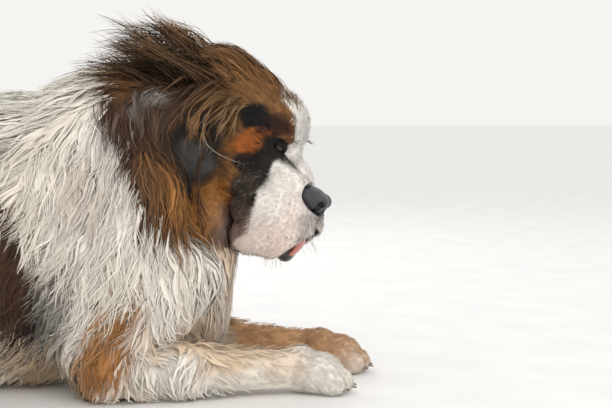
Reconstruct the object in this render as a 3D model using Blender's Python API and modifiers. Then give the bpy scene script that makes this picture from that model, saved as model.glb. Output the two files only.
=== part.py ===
"""A long-haired Saint Bernard, life size, lying with its head raised and its forelegs stretched out.

The dog faces +X with its right side towards -Y and rests on the floor, Z = 0. The flesh is fused from ellipsoids
and tapered limbs, parted by thin cuts into named nodes, and the long coat is flat, tapered locks set on it.
"""

import math
import random
from collections import namedtuple

import bpy
import bmesh
from mathutils import Matrix, Vector
from mathutils.bvhtree import BVHTree

# Driving sizes, in metres and degrees
GAP = 0.0003
FLOOR_SINK = 0.010
HEAD_PITCH = 35
HEAD_YAW = -15
BETWEEN_EYES = Vector((-0.033, -0.026, 0.4285))
EYE_RADIUS = 0.0125
EYE_PLACE = Vector((-0.003, 0.049, 0.000))
LID_THICKNESS = 0.0035
CORE_SHARE = 0.5
BODY_VOXEL = 0.011
HEAD_VOXEL = 0.0045
BODY_TRIANGLES = 1600
HEAD_TRIANGLES = 1500
SEED = 7

SIDES = {"right": -1, "left": 1}

# A place on a limb's centre line, with the flesh's half width and half height and the coat's full depth there
Station = namedtuple("Station", "x y z half_width half_height coat")
# An ellipsoid of flesh: its centre, its three radii, its turn about Y in degrees and the coat's full depth on it
Mass = namedtuple("Mass", "centre radii turn coat")

TRUNK = (
    Station(-0.190, 0, 0.215, 0.070, 0.090, 0.050),
    Station(-0.240, 0, 0.228, 0.120, 0.165, 0.055),
    Station(-0.330, 0, 0.240, 0.150, 0.208, 0.055),
    Station(-0.460, 0, 0.254, 0.165, 0.236, 0.050),
    Station(-0.620, 0, 0.243, 0.175, 0.228, 0.045),
    Station(-0.760, 0, 0.222, 0.160, 0.205, 0.045),
    Station(-0.880, 0, 0.203, 0.145, 0.183, 0.050),
    Station(-0.960, 0, 0.190, 0.115, 0.145, 0.055),
    Station(-1.005, 0, 0.185, 0.060, 0.085, 0.060),
)
NECK = (
    Station(-0.430, 0, 0.300, 0.140, 0.175, 0.060),
    Station(-0.340, 0, 0.384, 0.128, 0.160, 0.070),
    Station(-0.250, -0.006, 0.420, 0.110, 0.135, 0.070),
    Station(-0.170, -0.012, 0.445, 0.090, 0.105, 0.050),
)
TAIL = (
    Station(-0.990, 0, 0.235, 0.045, 0.045, 0.050),
    Station(-1.060, 0, 0.155, 0.036, 0.036, 0.060),
    Station(-1.140, -0.015, 0.075, 0.030, 0.030, 0.070),
    Station(-1.240, -0.055, 0.046, 0.024, 0.024, 0.070),
    Station(-1.320, -0.130, 0.040, 0.018, 0.018, 0.064),
    Station(-1.350, -0.215, 0.032, 0.010, 0.010, 0.050),
)
# Limbs of the right side, mirrored for the left with a small change of reach
UPPER_ARM = (
    Station(-0.235, 0.115, 0.235, 0.050, 0.075, 0.050),
    Station(-0.290, 0.140, 0.140, 0.046, 0.062, 0.045),
    Station(-0.345, 0.160, 0.062, 0.042, 0.048, 0.035),
)
FOREARMS = {
    "right": (
        Station(-0.345, 0.160, 0.052, 0.042, 0.044, 0.030),
        Station(-0.220, 0.146, 0.050, 0.040, 0.042, 0.026),
        Station(-0.100, 0.118, 0.044, 0.034, 0.036, 0.020),
        Station(-0.008, 0.100, 0.042, 0.034, 0.034, 0.012),
    ),
    "left": (
        Station(-0.345, 0.160, 0.052, 0.042, 0.044, 0.030),
        Station(-0.200, 0.140, 0.050, 0.040, 0.042, 0.026),
        Station(-0.065, 0.105, 0.044, 0.034, 0.036, 0.020),
        Station(0.030, 0.084, 0.042, 0.034, 0.034, 0.012),
    ),
}
THIGH = (
    Station(-0.930, 0.100, 0.235, 0.060, 0.095, 0.050),
    Station(-0.820, 0.150, 0.190, 0.058, 0.090, 0.050),
    Station(-0.715, 0.178, 0.135, 0.050, 0.068, 0.040),
)
SHANK = (
    Station(-0.715, 0.182, 0.125, 0.046, 0.056, 0.035),
    Station(-0.850, 0.196, 0.085, 0.040, 0.045, 0.035),
    Station(-0.965, 0.198, 0.052, 0.030, 0.036, 0.030),
)
METATARSUS = (
    Station(-0.965, 0.198, 0.040, 0.028, 0.028, 0.020),
    Station(-0.860, 0.208, 0.036, 0.030, 0.028, 0.016),
    Station(-0.775, 0.212, 0.036, 0.032, 0.030, 0.012),
)
BODY_MASSES = (
    Mass((-0.215, 0, 0.205), (0.055, 0.105, 0.135), 0, 0.050),
    Mass((-0.395, 0, 0.425), (0.095, 0.085, 0.070), 25, 0.055),
)
# Masses on both sides of the body, given for the left
PAIRED_MASSES = (
    Mass((-0.310, 0.118, 0.245), (0.095, 0.062, 0.165), 20, 0.050),
    Mass((-0.900, 0.120, 0.200), (0.125, 0.070, 0.150), -20, 0.050),
)

# Head masses in the head's own frame: X along the muzzle, Y to the left, Z up, from between the eyes
HEAD_MASSES = (
    Mass((-0.150, 0, 0.008), (0.072, 0.070, 0.068), 0, 0.040),
    Mass((-0.095, 0, 0.000), (0.105, 0.080, 0.078), 0, 0.030),
    Mass((-0.038, 0, 0.030), (0.052, 0.064, 0.044), 0, 0.012),
    Mass((-0.060, 0, -0.105), (0.090, 0.062, 0.055), 8, 0.020),
    Mass((0.060, 0, -0.062), (0.055, 0.046, 0.045), 0, 0.003),
)
PAIRED_HEAD_MASSES = (
    Mass((-0.014, 0.037, 0.020), (0.036, 0.030, 0.019), 8, 0.003),
    Mass((-0.046, 0.062, -0.052), (0.070, 0.032, 0.066), 0, 0.012),
    Mass((0.022, 0.036, -0.062), (0.060, 0.028, 0.052), 6, 0.004),
    Mass((0.024, 0.050, -0.108), (0.050, 0.022, 0.050), 0, 0.004),
    Mass((0.078, 0.045, -0.118), (0.048, 0.019, 0.062), 8, 0.003),
    Mass((0.048, 0.050, -0.148), (0.040, 0.016, 0.048), 25, 0.004),
    Mass((0.103, 0.024, -0.092), (0.024, 0.022, 0.036), 0, 0.002),
)
MUZZLE = (
    Station(-0.020, 0, -0.045, 0.052, 0.046, 0.004),
    Station(0.035, 0, -0.062, 0.045, 0.042, 0.002),
    Station(0.080, 0, -0.065, 0.043, 0.041, 0.002),
    Station(0.104, 0, -0.068, 0.036, 0.036, 0.002),
)
JAW = (
    Station(0.000, 0, -0.150, 0.026, 0.018, 0.004),
    Station(0.050, 0, -0.153, 0.027, 0.017, 0.003),
    Station(0.098, 0, -0.151, 0.024, 0.018, 0.003),
)
TONGUE = (
    Station(0.030, 0, -0.126, 0.020, 0.005, 0),
    Station(0.085, 0, -0.122, 0.023, 0.006, 0),
    Station(0.116, 0, -0.128, 0.022, 0.006, 0),
    Station(0.127, 0, -0.146, 0.019, 0.005, 0),
)
NOSE_MASSES = (Mass((0.104, 0, -0.040), (0.021, 0.024, 0.020), 0, 0),)
PAIRED_NOSE_MASSES = (Mass((0.098, 0.016, -0.049), (0.021, 0.013, 0.014), 0, 0),)
NOSTRIL_MASSES = (
    Mass((0.118, 0.011, -0.050), (0.012, 0.0050, 0.0060), 0, 0),
    Mass((0.108, 0.023, -0.054), (0.014, 0.0090, 0.0024), 0, 0),
)

# Paws: the forelegs reach unequally far. The centre is that of the paw's pad, and heading turns the toes outwards.
Paw = namedtuple("Paw", "x y heading scale")
CARPUS_BACK = 0.030
HOCK_BACK = 0.034
FOREPAWS = {"right": Paw(0.022, -0.098, -2, 1.0), "left": Paw(0.060, 0.080, 2, 1.0)}
HINDPAWS = {"right": Paw(-0.722, -0.215, -6, 0.88), "left": Paw(-0.730, 0.215, 6, 0.88)}
PAW_RADII = Vector((0.044, 0.042, 0.036))
TOE_RADII = Vector((0.026, 0.0125, 0.020))
TOE_SPREAD = (-0.033, -0.0115, 0.0115, 0.033)
TOE_REACH = (0.022, 0.034, 0.034, 0.022)
CLAW_LENGTH = 0.018
CLAW_RADIUS = 0.0042

NOSE_TRIANGLES = 220
PAW_TRIANGLES = 180
LID_OPENING = 0.0042
EYE_GAZE = 48
EYE_DROOP = 8
CLAW_HEIGHT = 0.014
CLAW_DROOP = 18

CREAM = (0.72, 0.62, 0.50)
WHITE = (0.78, 0.73, 0.66)
ORANGE = (0.42, 0.20, 0.08)
BROWN = (0.10, 0.055, 0.035)
MATERIALS = {
    "coat_cream": (CREAM, 0.75),
    "coat_white": (WHITE, 0.75),
    "coat_orange": (ORANGE, 0.75),
    "coat_brown": (BROWN, 0.75),
    "nose_leather": ((0.055, 0.050, 0.052), 0.35),
    "lip_skin": ((0.060, 0.045, 0.045), 0.45),
    "tongue_skin": ((0.55, 0.16, 0.14), 0.30),
    "eyeball": ((0.030, 0.014, 0.008), 0.06),
    "claw_horn": ((0.20, 0.16, 0.12), 0.40),
}
# The material of each node, by the last part of its name
SLOTS = {
    "torso": "coat_brown",
    "neck": "coat_cream",
    "head": "coat_orange",
    "ear": "coat_brown",
    "eye": "eyeball",
    "nose": "nose_leather",
    "jaw": "lip_skin",
    "tongue": "tongue_skin",
    "upper_foreleg": "coat_cream",
    "forearm": "coat_cream",
    "forepaw": "coat_white",
    "thigh": "coat_brown",
    "hind_foot": "coat_cream",
    "hind_paw": "coat_white",
    "tail_base": "coat_brown",
    "tail_middle": "coat_brown",
    "tail_tip": "coat_white",
}

# A place on the coat, given for the left side, with the way the hair lies there and a lock's length and width
Guide = namedtuple("Guide", "place lie length width")
COAT = (
    Guide((-0.370, 0, 0.570), (-0.90, 0, 0.10), 0.150, 0.070),
    Guide((-0.500, 0, 0.500), (-1, 0, -0.10), 0.150, 0.080),
    Guide((-0.700, 0, 0.470), (-1, 0, -0.10), 0.150, 0.085),
    Guide((-0.900, 0, 0.400), (-0.9, 0, -0.30), 0.150, 0.080),
    Guide((-0.300, 0.130, 0.470), (0.10, 0, -1), 0.160, 0.065),
    Guide((-0.400, 0.160, 0.420), (-0.25, 0.10, -0.90), 0.160, 0.070),
    Guide((-0.170, 0, 0.250), (0.25, 0, -1), 0.160, 0.065),
    Guide((-0.200, 0.090, 0.220), (0.20, 0, -1), 0.160, 0.065),
    Guide((-0.150, 0, 0.120), (0.30, 0, -0.90), 0.110, 0.055),
    Guide((-0.330, 0.190, 0.280), (-0.45, 0, -0.80), 0.150, 0.070),
    Guide((-0.300, 0.200, 0.120), (-0.50, 0, -0.75), 0.110, 0.066),
    Guide((-0.200, 0.190, 0.060), (-0.60, 0, -0.50), 0.085, 0.056),
    Guide((-0.600, 0.190, 0.280), (-0.45, 0, -0.80), 0.150, 0.080),
    Guide((-0.600, 0.170, 0.080), (-0.60, 0, -0.60), 0.130, 0.080),
    Guide((-0.800, 0.180, 0.300), (-0.75, 0, -0.60), 0.150, 0.080),
    Guide((-0.880, 0.200, 0.200), (-0.60, 0, -0.75), 0.150, 0.080),
    Guide((-1.030, 0.080, 0.250), (-0.50, 0, -0.85), 0.150, 0.070),
)
TAIL_COAT = (
    Guide((-1.050, 0, 0.200), (-0.55, 0, -0.80), 0.140, 0.070),
    Guide((-1.120, -0.010, 0.120), (-0.75, -0.15, -0.60), 0.140, 0.066),
    Guide((-1.200, -0.040, 0.080), (-0.90, -0.35, -0.15), 0.140, 0.064),
    Guide((-1.310, -0.110, 0.070), (-0.60, -0.80, -0.05), 0.140, 0.055),
    Guide((-1.350, -0.200, 0.050), (-0.15, -1, -0.05), 0.120, 0.045),
)
COATED = (
    "right_hind_foot", "left_hind_foot", "right_thigh", "left_thigh", "right_forearm", "left_forearm",
    "right_upper_foreleg", "left_upper_foreleg", "tail_tip", "tail_middle", "tail_base", "torso", "neck",
)
# The least distance between two roots, as a share of a lock's width
LOCK_SPACING = 1.16
LOCK_THICKNESS = 0.010
LOCK_SINK = 0.014
# How wide a lock is and how far it has risen from the core towards the coat's full depth, from root to tip
LOCK_STEPS = ((0.0, 0.50, 0.0), (0.26, 1.0, 0.32), (0.56, 0.84, 0.65), (0.83, 0.40, 0.90))
LOCK_WAVE = 0.014
COAT_DEPTH = 0.052

# The crown's blown hair in the dog's own frame: families of locks by root, middle and tip, and how many of each
Blown = namedtuple("Blown", "root middle tip width count")
CROWN = (
    Blown((-0.140, 0, 0.560), (-0.190, 0, 0.605), (-0.275, 0, 0.645), 0.054, 3),
    Blown((-0.180, 0, 0.555), (-0.240, 0, 0.655), (-0.345, 0, 0.660), 0.064, 4),
    Blown((-0.215, 0, 0.545), (-0.275, 0, 0.620), (-0.375, 0, 0.620), 0.064, 4),
)
CROWN_HALF_WIDTH = 0.052
CROWN_DRIFT = 0.020
EAR_LOCKS = 3
EAR_LOCK_LENGTH = 0.115
EAR_LOCK_WIDTH = 0.044

# The ear, in the head's frame before it is pitched: X forward, Z up
EAR_MIDDLE = -0.130
EAR_WIDTH = 0.056
EAR_LENGTH = 0.135
EAR_TOP = 0.066
EAR_BURR = 0.012
EAR_ROOT_SIDE = 0.080
EAR_BULGE = 0.034
EAR_CUP = 0.020
EAR_THICKNESS = 0.007

# The mouth's opening between the flews, in the head's frame
MOUTH_DEPTH = (0.085, 0.200)
MOUTH_APEX = -0.078
MOUTH_BASE = -0.215
MOUTH_HALF_WIDTH = 0.040

# Where the body is parted: boxes, some of them in a slanted frame of an origin and a pitch
FAR = 0.6
HEAD_CUT = ((-0.200, 0, 0.435), 30)
HEAD_CELL = ((0, -FAR, -0.300), (FAR, FAR, FAR))
NECK_CUT = ((-0.315, 0, 0.360), 53)
NECK_CELL = ((0, -FAR, -0.360), (FAR, FAR, FAR))
ELBOW_BACK = -0.420
ELBOW_TOP = 0.200
CHEST_FRONT = -0.150
FOREARM_TOP = 0.115
RUMP = -1.045
THIGH_INSIDE = 0.125
THIGH_TOP = 0.330
STIFLE_FRONT = -0.635
FOOT_TOP = 0.070
PAW_ROOM = 0.092
TAIL_CUTS = {"tail_base": -1.055, "tail_middle": -1.150, "tail_tip": -1.270}


def clear_scene():
    for obj in list(bpy.data.objects):
        bpy.data.objects.remove(obj, do_unlink=True)


def collection(name, hidden=False):
    made = bpy.data.collections.new(name)
    bpy.context.scene.collection.children.link(made)
    made.hide_render = hidden
    return made


def material(name, colour, roughness):
    made = bpy.data.materials.new(name)
    made.use_nodes = True
    shader = made.node_tree.nodes["Principled BSDF"]
    shader.inputs["Base Color"].default_value = (*colour, 1)
    shader.inputs["Roughness"].default_value = roughness
    shader.inputs["Metallic"].default_value = 0
    return made


def head_matrix(pitched=True):
    """The head's own frame in the dog's: at the point between the eyes, turned to the dog's right and nose down."""
    turned = Matrix.Translation(BETWEEN_EYES) @ Matrix.Rotation(math.radians(HEAD_YAW), 4, "Z")
    if pitched:
        turned = turned @ Matrix.Rotation(math.radians(HEAD_PITCH), 4, "Y")
    return turned


def add_object(name, mesh, place):
    obj = bpy.data.objects.new(name, mesh)
    place.objects.link(obj)
    return obj


def object_from_bmesh(name, bm, place):
    bmesh.ops.recalc_face_normals(bm, faces=bm.faces)
    mesh = bpy.data.meshes.new(name)
    bm.to_mesh(mesh)
    bm.free()
    return add_object(name, mesh, place)


def ellipsoid(name, mass, place, frame=None, grow=0.0, segments=20):
    """A UV sphere stretched to the mass's radii, each made longer by grow."""
    radii = [r + grow for r in mass.radii]
    shape = Matrix.Translation(mass.centre) @ Matrix.Rotation(math.radians(mass.turn), 4, "Y")
    shape = shape @ Matrix.Diagonal((*radii, 1))
    bm = bmesh.new()
    bmesh.ops.create_uvsphere(
        bm, u_segments=segments, v_segments=segments * 2 // 3, radius=1,
        matrix=(frame or Matrix()) @ shape,
    )
    return object_from_bmesh(name, bm, place)


def between(a, b, share):
    return Station(*(u + (v - u) * share for u, v in zip(a, b)))


def spline(stations, steps=3):
    """Catmull-Rom points through the stations, all their values blended alike."""
    ends = (stations[0], *stations, stations[-1])
    made = []
    for i in range(1, len(ends) - 2):
        before, start, end, after = ends[i - 1: i + 3]
        for step in range(steps):
            t = step / steps
            made.append(Station(*(
                0.5 * (2 * s + (e - b) * t + (2 * b - 5 * s + 4 * e - a) * t ** 2
                       + (3 * s - b - 3 * e + a) * t ** 3)
                for b, s, e, a in zip(before, start, end, after)
            )))
    return [*made, stations[-1]]


def limb(name, stations, place, side=1, frame=None, core=CORE_SHARE, ring=16, steps=3):
    """A tapered limb lofted through the stations' elliptical rings, with rounded ends. side mirrors it in Y."""
    path = spline(stations, steps)
    points = [Vector((s.x, s.y * side, s.z)) for s in path]
    bm = bmesh.new()
    rings = []
    for i, (point, station) in enumerate(zip(points, path)):
        along = (points[min(i + 1, len(points) - 1)] - points[max(i - 1, 0)]).normalized()
        across = (Vector((0, 1, 0)) - along * along.y).normalized()
        up = along.cross(across)
        wide = station.half_width + station.coat * core
        high = station.half_height + station.coat * core
        sections = [(0.0, 1.0)]
        if i == 0:
            sections = [(-0.55, 0.55), (-0.35, 0.82), (0.0, 1.0)]
        if i == len(points) - 1:
            sections = [(0.0, 1.0), (0.35, 0.82), (0.55, 0.55)]
        for offset, size in sections:
            centre = point + along * offset * min(wide, high)
            rings.append([
                bm.verts.new(centre + across * wide * size * math.cos(a) + up * high * size * math.sin(a))
                for a in (2 * math.pi * k / ring for k in range(ring))
            ])
    for first, second in zip(rings, rings[1:]):
        for k in range(ring):
            bm.faces.new((first[k], first[(k + 1) % ring], second[(k + 1) % ring], second[k]))
    bm.faces.new(rings[0])
    bm.faces.new(rings[-1])
    if frame:
        bm.transform(frame)
    return object_from_bmesh(name, bm, place)


def box(name, low, high, place, frame=None):
    """A box between two corners, in the frame given."""
    low, high = Vector(low), Vector(high)
    shape = Matrix.Translation((low + high) / 2) @ Matrix.Diagonal((*(high - low), 1))
    bm = bmesh.new()
    bmesh.ops.create_cube(bm, size=1, matrix=(frame or Matrix()) @ shape)
    return object_from_bmesh(name, bm, place)


def evaluated_mesh(obj):
    graph = bpy.context.evaluated_depsgraph_get()
    return bpy.data.meshes.new_from_object(obj.evaluated_get(graph))


def apply_modifiers(obj):
    bpy.context.view_layer.update()
    mesh = evaluated_mesh(obj)
    obj.modifiers.clear()
    obj.data = mesh


def join(name, pieces, place):
    bm = bmesh.new()
    for piece in pieces:
        bm.from_mesh(piece.data)
        bpy.data.objects.remove(piece)
    return object_from_bmesh(name, bm, place)


def fuse(name, pieces, place, voxel, smoothing, triangles):
    """One skin round all the pieces, smoothed and thinned to about the number of triangles given."""
    obj = join(name, pieces, place)
    remesh = obj.modifiers.new("skin", "REMESH")
    remesh.mode = "VOXEL"
    remesh.voxel_size = voxel
    smooth = obj.modifiers.new("smooth", "SMOOTH")
    smooth.iterations = smoothing
    apply_modifiers(obj)
    thin = obj.modifiers.new("thin", "DECIMATE")
    thin.ratio = min(1.0, triangles / (2 * len(obj.data.polygons)))
    apply_modifiers(obj)
    triangulate(obj)
    return obj


def triangulate(obj):
    bm = bmesh.new()
    bm.from_mesh(obj.data)
    bmesh.ops.triangulate(bm, faces=bm.faces)
    bm.to_mesh(obj.data)
    bm.free()


def boolean(obj, operand, operation, solver="EXACT"):
    """Cuts or joins obj with another object, or with each object of a collection."""
    modifier = obj.modifiers.new(operation.lower(), "BOOLEAN")
    modifier.operation = operation
    modifier.solver = solver
    if isinstance(operand, bpy.types.Collection):
        modifier.operand_type = "COLLECTION"
        modifier.collection = operand
    else:
        modifier.object = operand
    apply_modifiers(obj)


def copy_of(obj, name, place):
    return add_object(name, obj.data.copy(), place)


def swollen(obj, place, amount=GAP):
    """A copy of a closed mesh with each corner moved out along its normal."""
    made = copy_of(obj, obj.name + "_swollen", place)
    bm = bmesh.new()
    bm.from_mesh(made.data)
    bm.normal_update()
    moves = [vert.normal * vert.calc_shell_factor() * amount for vert in bm.verts]
    for vert, move in zip(bm.verts, moves):
        vert.co += move
    bm.to_mesh(made.data)
    bm.free()
    return made


def carve(obj, others, cutters, amount=GAP):
    """Cuts from obj each of the others with a thin gap round it."""
    for other in others:
        cutter = swollen(other, cutters, amount)
        boolean(obj, cutter, "DIFFERENCE")
        bpy.data.objects.remove(cutter)


def keep_largest(obj):
    """Drops every closed surface of obj but the largest."""
    bm = bmesh.new()
    bm.from_mesh(obj.data)
    bmesh.ops.remove_doubles(bm, verts=bm.verts, dist=1e-6)
    left = set(bm.faces)
    islands = []
    while left:
        stack = [left.pop()]
        island = []
        while stack:
            face = stack.pop()
            island.append(face)
            for edge in face.edges:
                for near in edge.link_faces:
                    if near in left and len(edge.link_faces) == 2:
                        left.remove(near)
                        stack.append(near)
        islands.append(island)
    islands.sort(key=lambda faces: sum(face.calc_area() for face in faces))
    for island in islands[:-1]:
        bmesh.ops.delete(bm, geom=island, context="FACES")
    bm.to_mesh(obj.data)
    bm.free()


def mirrored(mass, side):
    x, y, z = mass.centre
    return mass._replace(centre=(x, y * side, z))


def masses(name, single, paired, place, frame=None, core=CORE_SHARE, segments=20):
    """Ellipsoids for the single masses and for each side's copy of the paired ones."""
    listed = [*single, *(mirrored(m, side) for m in paired for side in SIDES.values())]
    return [
        ellipsoid(f"{name}_{i}", m, place, frame, m.coat * core, segments)
        for i, m in enumerate(listed)
    ]


def build_body(place):
    """The neck, trunk, tail and legs without paws, fused in one."""
    pieces = [
        limb("trunk", TRUNK, place, ring=24),
        limb("neck", NECK, place, ring=20),
        limb("tail", TAIL, place),
        *masses("mass", BODY_MASSES, PAIRED_MASSES, place),
    ]
    for word, side in SIDES.items():
        pieces += [
            limb("upper_arm", UPPER_ARM, place, side),
            limb("forearm", FOREARMS[word], place, side),
            limb("thigh", THIGH, place, side),
            limb("shank", SHANK, place, side),
            limb("metatarsus", METATARSUS, place, side),
        ]
    return fuse("body", pieces, place, BODY_VOXEL, 6, BODY_TRIANGLES)


def build_head(place):
    frame = head_matrix()
    pieces = [
        *masses("head_mass", HEAD_MASSES, PAIRED_HEAD_MASSES, place, frame),
        limb("muzzle", MUZZLE, place, frame=frame),
    ]
    return fuse("head", pieces, place, HEAD_VOXEL, 3, HEAD_TRIANGLES)


def cut_mouth(head, cutters):
    """Parts the hanging flews in front, below the nose, in a narrow upturned V."""
    bm = bmesh.new()
    near, far = MOUTH_DEPTH
    corners = [(0, MOUTH_APEX), (-MOUTH_HALF_WIDTH, MOUTH_BASE), (MOUTH_HALF_WIDTH, MOUTH_BASE)]
    back = [bm.verts.new((near, y, z)) for y, z in corners]
    front = [bm.verts.new((far, y, z)) for y, z in corners]
    bm.faces.new(back)
    bm.faces.new(front[::-1])
    for k in range(3):
        bm.faces.new((back[k], front[k], front[(k + 1) % 3], back[(k + 1) % 3]))
    bm.transform(head_matrix())
    wedge = object_from_bmesh("mouth", bm, cutters)
    boolean(head, wedge, "DIFFERENCE")
    bpy.data.objects.remove(wedge)


def slant(origin, pitch):
    """A frame whose X axis is tilted up by pitch degrees."""
    return Matrix.Translation(origin) @ Matrix.Rotation(math.radians(-pitch), 4, "Y")


def split_off(body, name, low, high, place, cutters, frame=None):
    """Parts the box's share of the body into a new node, with a thin cut between the two."""
    half = Vector((GAP / 2,) * 3)
    node = copy_of(body, name, place)
    cell = box("cell", Vector(low) + half, Vector(high) - half, cutters, frame)
    boolean(node, cell, "INTERSECT")
    bpy.data.objects.remove(cell)
    cell = box("cell", Vector(low) - half, Vector(high) + half, cutters, frame)
    boolean(body, cell, "DIFFERENCE")
    bpy.data.objects.remove(cell)
    return node


def side_box(side, near, far, x_low, x_high, z_low, z_high):
    """The corners of a box on one side of the body, between two distances from its middle plane."""
    y_low, y_high = sorted((near * side, far * side))
    return (x_low, y_low, z_low), (x_high, y_high, z_high)


def part_body(body, place, cutters):
    """Divides the fused body into neck, upper forelegs, forearms, thighs, hind feet and three lengths of tail."""
    nodes = {"neck": split_off(body, "neck", *NECK_CELL, place, cutters, slant(*NECK_CUT))}
    for word, side in SIDES.items():
        wrist = FOREPAWS[word].x - CARPUS_BACK
        ankle = HINDPAWS[word].x - HOCK_BACK
        for start, y in ((wrist, FOREPAWS[word].y), (ankle, HINDPAWS[word].y)):
            room = box("room", (start, y - 0.075, -0.1), (start + 0.2, y + 0.075, PAW_ROOM), cutters)
            boolean(body, room, "DIFFERENCE")
            bpy.data.objects.remove(room)
        cells = {
            "upper_foreleg": (0.105, FAR, ELBOW_BACK, CHEST_FRONT, -FAR, ELBOW_TOP),
            "forearm": (0.010, FAR, CHEST_FRONT, wrist, -FAR, FOREARM_TOP),
            "hind_foot": (THIGH_INSIDE, FAR, RUMP, ankle, -FAR, FOOT_TOP),
            "thigh": (THIGH_INSIDE, FAR, RUMP, STIFLE_FRONT, FOOT_TOP, THIGH_TOP),
        }
        for part, cell in cells.items():
            name = f"{word}_{part}"
            nodes[name] = split_off(body, name, *side_box(side, *cell), place, cutters)
    for name, start in reversed(TAIL_CUTS.items()):
        nodes[name] = split_off(body, name, (-2, -FAR, -FAR), (start, FAR, FAR), place, cutters)
    body.name = "torso"
    nodes["torso"] = body
    return nodes


def flap(name, place, side):
    """A drop ear: it rises from its root in a low burr, folds over and hangs, its edges curled in to make a cup."""
    rows, columns = 8, 6
    bm = bmesh.new()
    grid = []
    for i in range(rows):
        t = i / (rows - 1)
        row = []
        for j in range(columns):
            s = 2 * j / (columns - 1) - 1
            length = EAR_LENGTH * (1 - 0.28 * s * s)
            width = EAR_WIDTH * (1 + 0.10 * math.sin(math.pi * t) - 0.30 * t * t)
            along = EAR_MIDDLE + width * s
            out = EAR_ROOT_SIDE + EAR_BULGE * math.sin(min(1.0, 1.7 * t) * math.pi / 2)
            out -= EAR_CUP * s * s * t + 0.012 * t
            drop = EAR_TOP + EAR_BURR * math.sin(math.pi * min(1.0, 2.2 * t)) - length * t
            row.append(bm.verts.new((along, out * side, drop)))
        grid.append(row)
    for first, second in zip(grid, grid[1:]):
        for j in range(columns - 1):
            bm.faces.new((first[j], first[j + 1], second[j + 1], second[j]))
    bm.transform(head_matrix(pitched=False))
    ear = object_from_bmesh(name, bm, place)
    solid = ear.modifiers.new("leather", "SOLIDIFY")
    solid.thickness = EAR_THICKNESS
    solid.offset = 0
    apply_modifiers(ear)
    triangulate(ear)
    return ear


def eye_frame(side):
    """At the eyeball's centre, X along the gaze and Z up the lids' slit, which droops at its outer corner."""
    place = Matrix.Translation((EYE_PLACE.x, EYE_PLACE.y * side, EYE_PLACE.z))
    turn = Matrix.Rotation(math.radians(EYE_GAZE * side), 4, "Z")
    droop = Matrix.Rotation(math.radians(EYE_DROOP * side), 4, "X")
    return head_matrix() @ place @ turn @ droop


def add_lids(head, side, cutters):
    """Upper and lower lid: a ball over the eyeball, parted by an almond slit that shows little of the eye."""
    frame = eye_frame(side)
    size = EYE_RADIUS + LID_THICKNESS
    ball = ellipsoid("lid", Mass((0, 0, 0), (size, size * 1.12, size), 0, 0), cutters, frame, segments=11)
    boolean(head, ball, "UNION")
    bpy.data.objects.remove(ball)
    slit = ellipsoid("slit", Mass((size, 0, -0.001), (0.011, 0.0125, LID_OPENING), 0, 0), cutters, frame, segments=9)
    boolean(head, slit, "DIFFERENCE")
    bpy.data.objects.remove(slit)


def build_nose(place, cutters):
    frame = head_matrix()
    pieces = masses("nose_mass", NOSE_MASSES, PAIRED_NOSE_MASSES, place, frame)
    return fuse("nose", pieces, place, 0.002, 3, NOSE_TRIANGLES)


def cut_nostrils(nose, cutters):
    for hole in masses("nostril", (), NOSTRIL_MASSES, cutters, head_matrix(), segments=7):
        boolean(nose, hole, "DIFFERENCE")
        bpy.data.objects.remove(hole)


def build_paw(name, paw, place, triangles=PAW_TRIANGLES):
    """A paw's pad and its four arched toes, cut square where it meets the leg."""
    frame = Matrix.Translation((paw.x, paw.y, 0)) @ Matrix.Rotation(math.radians(paw.heading), 4, "Z")
    frame = frame @ Matrix.Diagonal((paw.scale, paw.scale, paw.scale, 1))
    pieces = [ellipsoid("pad", Mass((0, 0, PAW_RADII.z * 0.92), PAW_RADII, 0, 0), place, frame)]
    pieces.append(ellipsoid("wrist", Mass((-0.034, 0, 0.042), (0.036, 0.040, 0.039), 0, 0), place, frame))
    for spread, reach in zip(TOE_SPREAD, TOE_REACH):
        toe = Mass((reach, spread, TOE_RADII.z * 1.15), TOE_RADII, 12, 0)
        pieces.append(ellipsoid("toe", toe, place, frame))
    return fuse(name, pieces, place, 0.0045, 2, triangles)


def build_claws(name, paw, place):
    """One tapered claw at the end of each toe, pointing forward and a little down."""
    frame = Matrix.Translation((paw.x, paw.y, 0)) @ Matrix.Rotation(math.radians(paw.heading), 4, "Z")
    frame = frame @ Matrix.Diagonal((paw.scale, paw.scale, paw.scale, 1))
    made = []
    for number, (spread, reach) in enumerate(zip(TOE_SPREAD, TOE_REACH), 1):
        root = Matrix.Translation((reach + TOE_RADII.x * 0.93, spread, CLAW_HEIGHT))
        point_forward = Matrix.Rotation(math.radians(90 + CLAW_DROOP), 4, "Y")
        bm = bmesh.new()
        bmesh.ops.create_cone(
            bm, cap_ends=True, segments=6, radius1=CLAW_RADIUS, radius2=CLAW_RADIUS * 0.25,
            depth=CLAW_LENGTH, matrix=frame @ root @ point_forward,
        )
        claw = object_from_bmesh(f"{name}_claw_{number}", bm, place)
        triangulate(claw)
        made.append(claw)
    return made


def on_floor(obj, cutters, solver="EXACT"):
    """Cuts off what lies below the floor, which leaves small flats at Z = 0."""
    slab = box("slab", (-2, -1, -0.3), (1, 1, 0), cutters)
    boolean(obj, slab, "DIFFERENCE", solver)
    bpy.data.objects.remove(slab)


def centre_on_floor(objects):
    """Moves all so that the middle of the whole box's underside is at the origin."""
    points = [v.co for obj in objects for v in obj.data.vertices]
    low = Vector((min(p[k] for p in points) for k in range(3)))
    high = Vector((max(p[k] for p in points) for k in range(3)))
    shift = Vector((-(low.x + high.x) / 2, -(low.y + high.y) / 2, 0))
    for obj in objects:
        obj.data.transform(Matrix.Translation(shift))


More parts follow.
